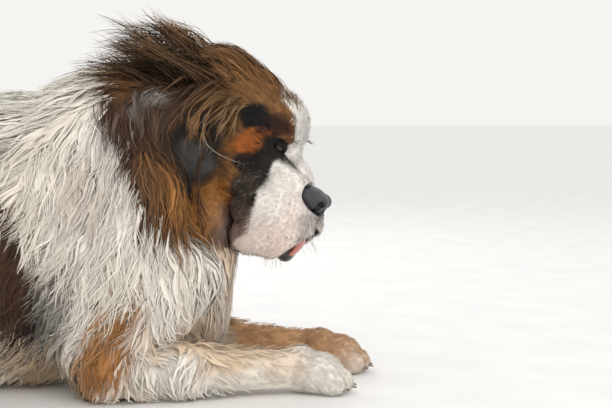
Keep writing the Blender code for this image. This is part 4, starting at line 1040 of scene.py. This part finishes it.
def strands_mesh(name, strands, tip_tint, softness, thick=0.8):
    """Closed, flattened, tapering three-sided strands as one mesh, with their colours and the OFBake map."""
    paths, normals, widths, roots, colours = strands
    paths = paths.copy()
    paths[..., 2] = np.maximum(paths[..., 2], LOWEST_PATH)
    n, count, _ = paths.shape
    rings = count - 1
    along = unit(np.gradient(paths, axis=1))
    across = unit(np.cross(normals, along))
    up = np.cross(along, across)
    roll = rng.normal(0, 0.5, (n, 1, 1))
    across, up = across * np.cos(roll) + up * np.sin(roll), up * np.cos(roll) - across * np.sin(roll)
    half = (widths / 2)[..., None]
    ring = np.stack([paths - across * half, paths + across * half, paths + up * half * thick], 2)[:, :rings]
    verts = np.concatenate([ring.reshape(n, rings * 3, 3), paths[:, -1:]], 1)
    per = rings * 3 + 1
    faces = [(2, 1, 0)]
    for r in range(rings - 1):
        for k in range(3):
            a, b = r * 3 + k, r * 3 + (k + 1) % 3
            faces += [(a, b, b + 3), (a, b + 3, a + 3)]
    verts[..., 2] = np.maximum(verts[..., 2], LOWEST_POINT)
    last = (rings - 1) * 3
    faces += [(last + k, last + (k + 1) % 3, per - 1) for k in range(3)]
    faces = np.array(faces)
    index = (faces[None] + (np.arange(n) * per)[:, None, None]).reshape(-1)
    mesh = bpy.data.meshes.new(name)
    mesh.vertices.add(n * per)
    mesh.vertices.foreach_set("co", verts.reshape(-1).astype(np.float32))
    mesh.loops.add(len(index))
    mesh.loops.foreach_set("vertex_index", index.astype(np.int32))
    mesh.polygons.add(len(index) // 3)
    mesh.polygons.foreach_set("loop_start", np.arange(0, len(index), 3, dtype=np.int32))
    mesh.update(calc_edges=True)
    share = np.append(np.repeat(np.arange(rings) / rings, 3), 1.0)
    across_share = np.append(np.tile([0.0, 1.0, 0.5], rings), 0.5)
    tone = 1 + tip_tint * (share - 0.4)
    shaded = colours[:, None] * tone[None, :, None]
    rgba = np.concatenate([np.clip(shaded, 0, 1), np.broadcast_to(share[None, :, None], (n, per, 1))], 2)
    set_colours(mesh, rgba)
    lengths = np.linalg.norm(np.diff(paths, axis=1), axis=2).sum(1)
    offset = np.stack([-widths, widths, 0 * widths], 2)[:, :rings].reshape(n, -1)
    offset = np.concatenate([offset, np.zeros((n, 1))], 1)
    grain = np.stack([
        offset / 2 / GRAIN_WIDTH, share[None] * lengths[:, None] / GRAIN_LENGTH,
        np.broadcast_to(rng.uniform(0, 90, (n, 1)), offset.shape),
    ], 2)
    layer = mesh.attributes.new("strand", "FLOAT_VECTOR", "POINT")
    layer.data.foreach_set("vector", grain.reshape(-1).astype(np.float32))
    uv = atlas(roots)[:, None] + (np.stack([across_share, share], 1)[None] - 0.5) * PATCH_SIZE
    flat = uv.reshape(-1, 2)[index]
    mesh.uv_layers.new(name="OFBake").data.foreach_set("uv", flat.reshape(-1).astype(np.float32))
    mesh.shade_smooth()
    outward = np.stack([-across, across, up], 2)[:, :rings].reshape(n, rings * 3, 3)
    outward = np.concatenate([outward, up[:, -1:]], 1)
    skinward = np.concatenate([np.repeat(normals[:, :rings], 3, 1), normals[:, -1:]], 1)
    softened = unit(outward * (1 - softness) + skinward * softness).reshape(-1, 3)
    mesh.normals_split_custom_set_from_vertices(softened.astype(np.float32))
    return add_object(name, mesh)


# Hair that stands out from the head: where, in its frame, which way it points, its length, width and how many
Spikes = namedtuple("Spikes", "centre spread way length width count colour")
BROW_SPIKES = table(Spikes,
    ((0.018, 0, 0.032), (0.010, 0.030, 0.018), (0.5, 0, 0.9), 0.008, 0.0008, 460, WHITE),
    ((0.000, 0, 0.060), (0.014, 0.032, 0.010), (-0.2, 0, 1.0), 0.011, 0.0008, 420, WHITE),
    ((-0.040, 0, 0.078), (0.022, 0.040, 0.006), (-0.8, 0, 0.8), 0.018, 0.0010, 420, BROW_BROWN),
    ((0.028, 0, -0.008), (0.008, 0.020, 0.012), (0.3, 0, 1.0), 0.006, 0.0008, 200, WHITE),
)
WHISKERS = tuple(
    group._replace(centre=flipped(group.centre, side), way=flipped(group.way, side))
    for group in table(Spikes,
        ((0.120, 0.035, -0.100), (0.016, 0.012, 0.022), (0.8, 0.5, -0.6), 0.034, 0.0007, 14, WHITE),
        ((0.095, 0.045, -0.170), (0.020, 0.012, 0.010), (0.5, 0.2, -1.0), 0.022, 0.0008, 16, WHITE),
        ((0.018, 0.046, 0.020), (0.008, 0.006, 0.004), (1.0, 0.3, 0.3), 0.020, 0.0007, 6, BLACK),
    )
    for side in (1, -1)
)


def arc(start, pull, end, s):
    """Points on the curve that leaves start towards pull and comes in to end."""
    return start * (1 - s) ** 2 + pull * 2 * s * (1 - s) + end * s * s


def joined(groups):
    return Strands(*(np.concatenate(values) for values in zip(*groups)))


def strands_of(paths, normals, width, roots, colours):
    t = np.linspace(0, 1, paths.shape[1])
    widths = width * rng.uniform(0.7, 1.3, len(paths))[:, None] * profile_width(t)[None]
    return Strands(paths, normals, widths, roots, colours)


def spikes(surface, groups):
    """Single tapering hairs that stand out from the skin and droop a little."""
    t = np.linspace(0, 1, 4)[:, None]
    made = []
    for group in groups:
        n = group.count
        places = np.array(group.centre) + rng.normal(0, 0.6, (n, 3)) * group.spread
        roots, normals = surface.nearest(places @ HEAD_TURN.T + HEAD_AT)
        ways = unit(unit(np.array(group.way, float)) + rng.normal(0, 0.28, (n, 3))) @ HEAD_TURN.T
        lengths = group.length * rng.uniform(0.5, 1.15, n)
        paths = roots[:, None] + ways[:, None] * (t * lengths[:, None, None])
        paths[..., 2] -= (t[:, 0] ** 2)[None] * lengths[:, None] * 0.25
        colours = np.array(group.colour) * (1 + rng.normal(0, 0.10, (n, 1)))
        made.append(strands_of(paths, np.repeat(normals[:, None], 4, 1), group.width, roots, colours))
    return joined(made)


# Strands that fall over the ears, in the head's frame on the left: root, middle and tip, spread, how many and
# their colour
Fall = namedtuple("Fall", "root middle tip spread count colour")
FALLS = table(Fall,
    ((-0.120, 0.088, 0.030), (-0.130, 0.128, -0.022), (-0.112, 0.134, -0.058),
     0.020, 110, (0.22, 0.12, 0.055)),
    ((-0.155, 0.085, 0.025), (-0.165, 0.126, -0.040), (-0.150, 0.132, -0.090),
     0.018, 64, (0.14, 0.075, 0.038)),
    ((-0.185, 0.080, 0.010), (-0.195, 0.115, -0.060), (-0.170, 0.124, -0.130),
     0.014, 40, (0.075, 0.042, 0.026)),
    ((-0.095, 0.085, 0.030), (-0.092, 0.120, 0.004), (-0.085, 0.124, -0.030),
     0.014, 50, (0.26, 0.16, 0.08)),
    ((-0.130, 0.110, 0.000), (-0.085, 0.140, -0.055), (-0.015, 0.112, -0.046),
     0.003, 3, (0.42, 0.35, 0.27)),
    ((-0.110, 0.100, -0.090), (-0.080, 0.118, -0.150), (-0.020, 0.100, -0.205),
     0.016, 70, (0.10, 0.050, 0.028)),
    ((-0.100, 0.095, -0.120), (-0.060, 0.100, -0.180), (-0.015, 0.085, -0.222),
     0.010, 26, (0.08, 0.040, 0.026)),
)


def draped(surface, side):
    """Long strands that fall from the ear's root over its flap, in wavering, gathered bundles."""
    t = np.linspace(0, 1, 8)[:, None]
    made = []
    mirror = np.array((1, side, 1))
    for fall in FALLS:
        n = fall.count
        bundle = rng.integers(0, max(1, n // 8), n)
        shift = rng.normal(0, fall.spread, (n, 3))[bundle] * (1, 0.35, 0.6)
        own = rng.normal(0, fall.spread * 0.25, (n, 3))
        root, middle, tip = (np.array(p) * mirror for p in (fall.root, fall.middle, fall.tip))
        start = root + shift * 0.9 + own
        end = tip + shift * 1.1 + own * 1.5
        pull = 2 * (middle + shift) - (start + end) / 2
        reach = rng.uniform(0.75, 1.1, (n, 1, 1))
        s = t[None] * reach
        paths = arc(start[:, None], pull[:, None], end[:, None], s)
        phase = rng.uniform(0, 6.3, n)[bundle][:, None, None]
        paths[..., :1] += 0.005 * np.sin(phase + 7 * s) * s
        paths = paths @ HEAD_TURN.T + HEAD_AT
        roots, _ = surface.nearest(paths[:, 0])
        paths[:, 0] = roots
        out = np.broadcast_to(HEAD_TURN @ (mirror * (0, 1, 0)), paths.shape)
        colours = np.array(fall.colour) * (1 + rng.normal(0, 0.22, (n, 1)))
        made.append(strands_of(paths, out, FALL_WIDTH, roots, colours))
    return joined(made)


def blown_hair(surface):
    """The crown's hair, lifted by the wind in arcs that rise, bend back and curl at their tips."""
    paths, roots, tones = [], [], []
    rings, per_clump = 8, 15
    t = np.linspace(0, 1, rings + 1)
    for family in CROWN:
        for _ in range(family.count):
            share = rng.uniform(-1, 1)
            aside = np.array((0, share * CROWN_HALF_WIDTH, 0))
            jitter = rng.normal(0, 0.011, 3)
            root = np.array(family.root) + aside + rng.normal(0, 0.016, 3) * (1, 0.6, 0)
            root = np.array(surface.tree.find_nearest(root - (0, 0, 0.02 * share * share))[0])
            fallen = np.array((0, 0, share * share))
            tip = np.array(family.tip) + aside * 1.9 + jitter * (1.5, 2.2, 1.5) - fallen * 0.060
            middle = np.array(family.middle) + aside * 1.5 + jitter - fallen * 0.032
            pull = middle * 2 - (root + tip) / 2
            phase, turns, size = rng.uniform(0, 2 * math.pi), rng.uniform(0.7, 1.4), rng.uniform(0.004, 0.018)
            bend = rng.uniform(-0.012, 0.026)
            tone = rng.random() ** 1.4
            for _ in range(per_clump):
                start = np.array(surface.tree.find_nearest(root + rng.normal(0, 0.009, 3))[0])
                spread = rng.normal(0, 0.005, 3)
                end = tip + spread * 1.6
                s = (t * rng.uniform(0.75, 1.05))[:, None]
                path = arc(start, pull + spread, end, s)
                angle = phase + rng.normal(0, 0.3) + 2 * math.pi * turns * t
                reach = size * t ** 1.5
                path[:, 0] += reach * np.sin(angle)
                path[:, 1] += reach * np.cos(angle)
                path[:, 2] += reach * np.sin(angle + 1.2) - bend * s[:, 0] ** 3
                path[:, 2] -= CROWN_PRESSED * np.clip(path[:, 2] - CROWN_TOP, 0, None)
                paths.append(path)
                roots.append(start)
                tones.append(np.clip(tone + rng.normal(0, 0.15), 0, 1))
    paths, roots, tones = np.array(paths), np.array(roots), np.array(tones)[:, None]
    n = len(paths)
    normals = np.broadcast_to(unit(rng.normal(0, 1, (n, 1, 3))), paths.shape)
    widths = BLOWN_WIDTH * rng.uniform(0.6, 1.4, n)[:, None] * profile_width(t)[None]
    dark, tan = np.array(BLOWN_DARK), np.array(BLOWN_TAN)
    return Strands(paths, normals, widths, roots, dark + (tan - dark) * tones)


# --- materials ---

NOISE_DETAIL = 4.0
PAINTED_BUMP = 0.5


def new_material(name):
    made = bpy.data.materials.new(name)
    made.use_nodes = True
    nodes, links = made.node_tree.nodes, made.node_tree.links
    return made, nodes, links, nodes["Principled BSDF"]


def noise_node(nodes, links, scale):
    where = nodes.new("ShaderNodeTexCoord")
    made = nodes.new("ShaderNodeTexNoise")
    made.inputs["Scale"].default_value = scale
    made.inputs["Detail"].default_value = NOISE_DETAIL
    links.new(where.outputs["Object"], made.inputs["Vector"])
    return made


def bump(nodes, links, source, strength, distance, shader):
    made = nodes.new("ShaderNodeBump")
    made.inputs["Strength"].default_value = strength
    made.inputs["Distance"].default_value = distance
    links.new(source, made.inputs["Height"])
    links.new(made.outputs["Normal"], shader.inputs["Normal"])


def painted_material(name, roughness, scale, low, high, bump_distance, grain=None, specular=0.2):
    """Takes its colour from what is painted on the piece, its markings with painted shade in the nostrils and
    round the ear lobes and a painted highlight on the lobes, varied by fine noise or by its strands' grain.
    """
    made, nodes, links, shader = new_material(name)
    colour = nodes.new("ShaderNodeAttribute")
    colour.attribute_name = "coat"
    fine = noise_node(nodes, links, scale)
    if grain:
        where = nodes.new("ShaderNodeAttribute")
        where.attribute_name = grain
        links.new(where.outputs["Vector"], fine.inputs["Vector"])
    tone = nodes.new("ShaderNodeMapRange")
    for socket, value in (("From Min", 0.25), ("From Max", 0.75), ("To Min", low), ("To Max", high)):
        tone.inputs[socket].default_value = value
    links.new(fine.outputs["Fac"], tone.inputs["Value"])
    scaled = nodes.new("ShaderNodeVectorMath")
    scaled.operation = "SCALE"
    links.new(colour.outputs["Color"], scaled.inputs[0])
    links.new(tone.outputs["Result"], scaled.inputs["Scale"])
    links.new(scaled.outputs["Vector"], shader.inputs["Base Color"])
    shader.inputs["Roughness"].default_value = roughness
    shader.inputs["Specular IOR Level"].default_value = specular
    bump(nodes, links, fine.outputs["Fac"], PAINTED_BUMP, bump_distance, shader)
    return made


def plain_material(name, dark, light, roughness, scale, bump_strength, bump_distance):
    """Two tones mixed by noise, with a fine bump."""
    made, nodes, links, shader = new_material(name)
    fine = noise_node(nodes, links, scale)
    ramp = nodes.new("ShaderNodeValToRGB")
    for element, colour, position in zip(ramp.color_ramp.elements, (dark, light), (0.35, 0.65)):
        element.color = (*colour, 1)
        element.position = position
    links.new(fine.outputs["Fac"], ramp.inputs["Fac"])
    links.new(ramp.outputs["Color"], shader.inputs["Base Color"])
    shader.inputs["Roughness"].default_value = roughness
    bump(nodes, links, fine.outputs["Fac"], bump_strength, bump_distance, shader)
    return made


# --- the dog ---

def finished(obj, material, slot, *nodes):
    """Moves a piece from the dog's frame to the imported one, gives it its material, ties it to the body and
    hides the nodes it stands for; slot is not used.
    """
    obj.data.transform(Matrix.Translation(SHIFT))
    obj.data.materials.clear()
    obj.data.materials.append(material)
    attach(obj, "root")
    if nodes:
        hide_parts(*nodes)


def raise_underfur(skin):
    """Lifts the skin along its normals to the top of its underfur, but not below the floor."""
    bare = Surface(skin)
    depth = field_at(bare.points)[2]
    raised = bare.points + bare.normals * underfur(depth)[:, None]
    raised[:, 2] = np.maximum(raised[:, 2], np.minimum(bare.points[:, 2], 0.004))
    skin.data.vertices.foreach_set("co", raised.reshape(-1).astype(np.float32))
    skin.data.update()


def paint_mesh(obj, colours):
    set_colours(obj.data, np.c_[colours, np.ones(len(colours))])


skin_material = painted_material("skin_fur", 0.8, 420, 0.80, 1.15, 0.001)
coat_material = painted_material("coat_hair", 0.6, 1, 0.80, 1.12, 0.0006, grain="strand")
nose_material = painted_material("nose_leather", 0.36, 900, 0.8, 1.2, 0.0008, specular=0.5)
lip_material = plain_material(
    "lip_skin", (0.020, 0.017, 0.018), (0.050, 0.042, 0.044), 0.35, 300, 0.4, 0.001,
)
tongue_material = plain_material(
    "tongue_skin", (0.50, 0.12, 0.09), (0.68, 0.22, 0.17), 0.30, 900, 0.4, 0.0008,
)
eye_material = plain_material(
    "eyeball", (0.010, 0.006, 0.005), (0.045, 0.020, 0.010), 0.06, 180, 0.02, 0.0002,
)
claw_material = plain_material(
    "claw_horn", (0.10, 0.08, 0.06), (0.26, 0.21, 0.16), 0.40, 500, 0.2, 0.0004,
)

skin = build_skin()
raise_underfur(skin)
skin.data.shade_smooth()
surface = Surface(skin)
paint_mesh(skin, markings_and_painted_light(surface.points))

# Where each kind of hair grows: by its length there, off the floor, and not in the mouth or on eyes and nose
LONG_FROM = 0.045
MEDIUM_FROM = 0.017
EYE_CLEAR = 0.013
NOSE_AT = (0.106, 0, -0.043)
NOSE_CLEAR = 0.024
height, slope = surface.centres[:, 2], surface.face_normals[:, 2]
local_centres = in_head(surface.centres)
_, length_at, _, _ = field_at(surface.centres)
long_hair = ((length_at > LONG_FROM) & (height > 0.03) & (slope > -0.75)).astype(float)
medium_hair = ((length_at <= LONG_FROM) & (length_at > MEDIUM_FROM) & (height > 0.02)).astype(float)
short_hair = ((length_at <= MEDIUM_FROM) & (height > 0.006)).astype(float)
along, across, up = local_centres.T
short_hair[(np.abs(across) < 0.034) & (along > 0.083) & (up < -0.085)] = 0
for side in SIDES.values():
    eye_at = np.array((EYE_PLACE.x + 0.010, EYE_PLACE.y * side * 1.1, EYE_PLACE.z))
    short_hair[np.linalg.norm(local_centres - eye_at, axis=1) < EYE_CLEAR] = 0
short_hair[np.linalg.norm(local_centres - NOSE_AT, axis=1) < NOSE_CLEAR] = 0

LONG_WIDTH = 0.0013
LOCK_WIDTH = 0.0042
UNDER_WIDTH = 0.0120
MEDIUM_WIDTH = 0.0014
SHORT_WIDTH = 0.0008
own_pieces = ("eye", "nose", "jaw", "tongue")
flesh = [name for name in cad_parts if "_claw_" not in name and not name.endswith(own_pieces)]
# Each coat piece: its name and strands, how much lighter its tips are, how far its shading follows the skin,
# and how thick its strands are for their width
coats = [
    (f"coat_long_{k + 1}",
     hair(surface, 500, 14, 4, LONG_WIDTH, long_hair, (0.68, 0.95), 0.020, gather=(0.45, 0.9)), 0.10, 0.9)
    for k in range(4)
]
coats += [
    ("coat_locks", hair(surface, 2500, 3, 4, LOCK_WIDTH, long_hair, (0.62, 0.84), 0.015), 0, 0.93, 0.35),
    ("coat_under", hair(surface, 2500, 3, 4, UNDER_WIDTH, long_hair, (0.5, 0.72), 0.01), 0, 0.95, 0.25),
    ("coat_medium", hair(surface, 1100, 6, 3, MEDIUM_WIDTH, medium_hair, (0.3, 0.9), 0.025, 0.15), 0.1, 0.8),
]
coats += [
    (f"coat_short_{k + 1}",
     hair(surface, 2400, 6, 2, SHORT_WIDTH, short_hair, (0.2, 0.8),
          swing=0.12, gather=(0.1, 0.5), colour_at=(0, 0.5)),
     0.05, 0.85)
    for k in range(2)
]
coats += [
    ("coat_crown", blown_hair(surface), 0.4, 0.2),
    ("coat_brow", spikes(surface, BROW_SPIKES), 0.1, 0.6),
    ("coat_whiskers", spikes(surface, WHISKERS), 0.1, 0.2),
]
coats += [(f"coat_ear_{word}", draped(surface, side), 0.4, 0.3) for word, side in SIDES.items()]
for name, strands, *look in coats:
    piece = strands_mesh(name, strands, *look)
    finished(piece, coat_material, "coat_cream")
finished(skin, skin_material, "coat_cream", *flesh)

nose = fuse("nose_pad", masses("nose_mass", NOSE_MASSES, PAIRED_NOSE_MASSES, HEAD), NOSE_VOXEL, 6)
nose_tree = Surface(nose).tree
slits = []
for side in SIDES.values():
    slit = []
    for station in NOSTRIL:
        on_nose = nose_tree.find_nearest(HEAD @ Vector(flipped(station[:3], side)))[0]
        slit.append(Station(*(HEAD.inverted() @ on_nose), *station[3:]))
    slits += spline(slit)
    boolean(nose, limb("nostril", slit, 1, HEAD, ring=16), "DIFFERENCE")
boolean(nose, limb("philtrum", PHILTRUM, matrix=HEAD, ring=12), "DIFFERENCE")
nose_points = in_head(points_of(nose))
inside = np.max([s.half_width - np.linalg.norm(nose_points - s[:3], axis=1) for s in slits], axis=0)
leather = np.tile(NOSE_DARK, (len(nose_points), 1))
mix_in(leather, NOSE_PALE, edge_share(nose_points[:, 2] + 0.036, 0.010) * 0.6)
# Painted shade: the nostrils' slits darkened to near black where they run deep
mix_in(leather, NOSTRIL_SHADE, edge_share(inside + 0.0009, 0.0006))
paint_mesh(nose, leather)
nose.data.shade_smooth()
finished(nose, nose_material, "nose_leather", "nose")
for name, stations, material, slot, node in (
    ("jaw_lip", JAW, lip_material, "lip_skin", "lower_jaw"),
    ("tongue_blade", TONGUE, tongue_material, "tongue_skin", "tongue"),
):
    piece = limb(name, stations, matrix=HEAD, ring=32, steps=8)
    piece.data.shade_smooth()
    finished(piece, material, slot, node)
for word, side in SIDES.items():
    ball = ellipsoid(f"{word}_eyeball", Mass((0, 0, 0), (EYE_RADIUS,) * 3, 0), eye_frame(side), 48)
    ball.data.shade_smooth()
    finished(ball, eye_material, "eyeball", f"{word}_eye")
for word, side in SIDES.items():
    for leg, paws in (("forepaw", FOREPAWS), ("hind_paw", HINDPAWS)):
        for number, (spread, reach) in enumerate(zip(TOE_SPREAD, TOE_REACH), 1):
            root = Matrix.Translation((reach + TOE_RADII.x * 0.93, spread, CLAW_HEIGHT))
            forward = Matrix.Rotation(math.radians(90 + CLAW_DROOP), 4, "Y")
            bm = bmesh.new()
            bmesh.ops.create_cone(
                bm, cap_ends=True, segments=20, radius1=CLAW_RADIUS, radius2=CLAW_RADIUS * 0.25,
                depth=CLAW_LENGTH, matrix=paw_matrix(paws[word]) @ root @ forward,
            )
            claw = object_from_bmesh(f"{word}_{leg}_horn_{number}", bm)
            claw.data.shade_smooth()
            finished(claw, claw_material, "claw_horn", f"{word}_{leg}_claw_{number}")

# --- stage, light and camera ---

SKY_TINT = (1.0, 0.985, 0.965)
SKY_STRENGTH = 0.92
CAMERA_AT = Vector((0, -2.3, 0.5))
CAMERA_DIP = 4.4
LENS = 75

bm = bmesh.new()
bmesh.ops.create_grid(bm, x_segments=1, y_segments=1, size=FLOOR_SIZE)
floor = object_from_bmesh("floor", bm)
floor.data.materials.append(
    plain_material("pale_floor", (0.87, 0.87, 0.87), (0.91, 0.91, 0.90), 0.7, 8, 0.1, 0.01)
)

world = bpy.data.worlds.new("studio")
bpy.context.scene.world = world
world.use_nodes = True
background = world.node_tree.nodes["Background"]
background.inputs["Color"].default_value = (*SKY_TINT, 1)
background.inputs["Strength"].default_value = SKY_STRENGTH
bpy.context.scene.view_settings.view_transform = "Standard"


def area_light(name, place, aim, size, power, colour):
    light = bpy.data.lights.new(name, "AREA")
    light.size = size
    light.energy = power
    light.color = colour
    obj = bpy.data.objects.new(name, light)
    obj.location = Vector(place) + SHIFT
    obj.rotation_euler = (Vector(aim) - Vector(place)).to_track_quat("-Z", "Y").to_euler()
    bpy.context.scene.collection.objects.link(obj)


area_light("key", (0.4, -2.6, 2.2), (-0.3, 0, 0.3), 3.0, 27, (1, 0.97, 0.92))
area_light("rim", (-1.2, 2.4, 2.4), (-0.4, 0, 0.4), 2.0, 22, (0.95, 0.98, 1))

camera_data = bpy.data.cameras.new("camera")
camera_data.lens = LENS
camera_data.sensor_width = 36
camera = bpy.data.objects.new("camera", camera_data)
camera.location = CAMERA_AT + SHIFT
camera.rotation_euler = (math.radians(90 - CAMERA_DIP), 0, 0)
bpy.context.scene.collection.objects.link(camera)
bpy.context.scene.camera = camera
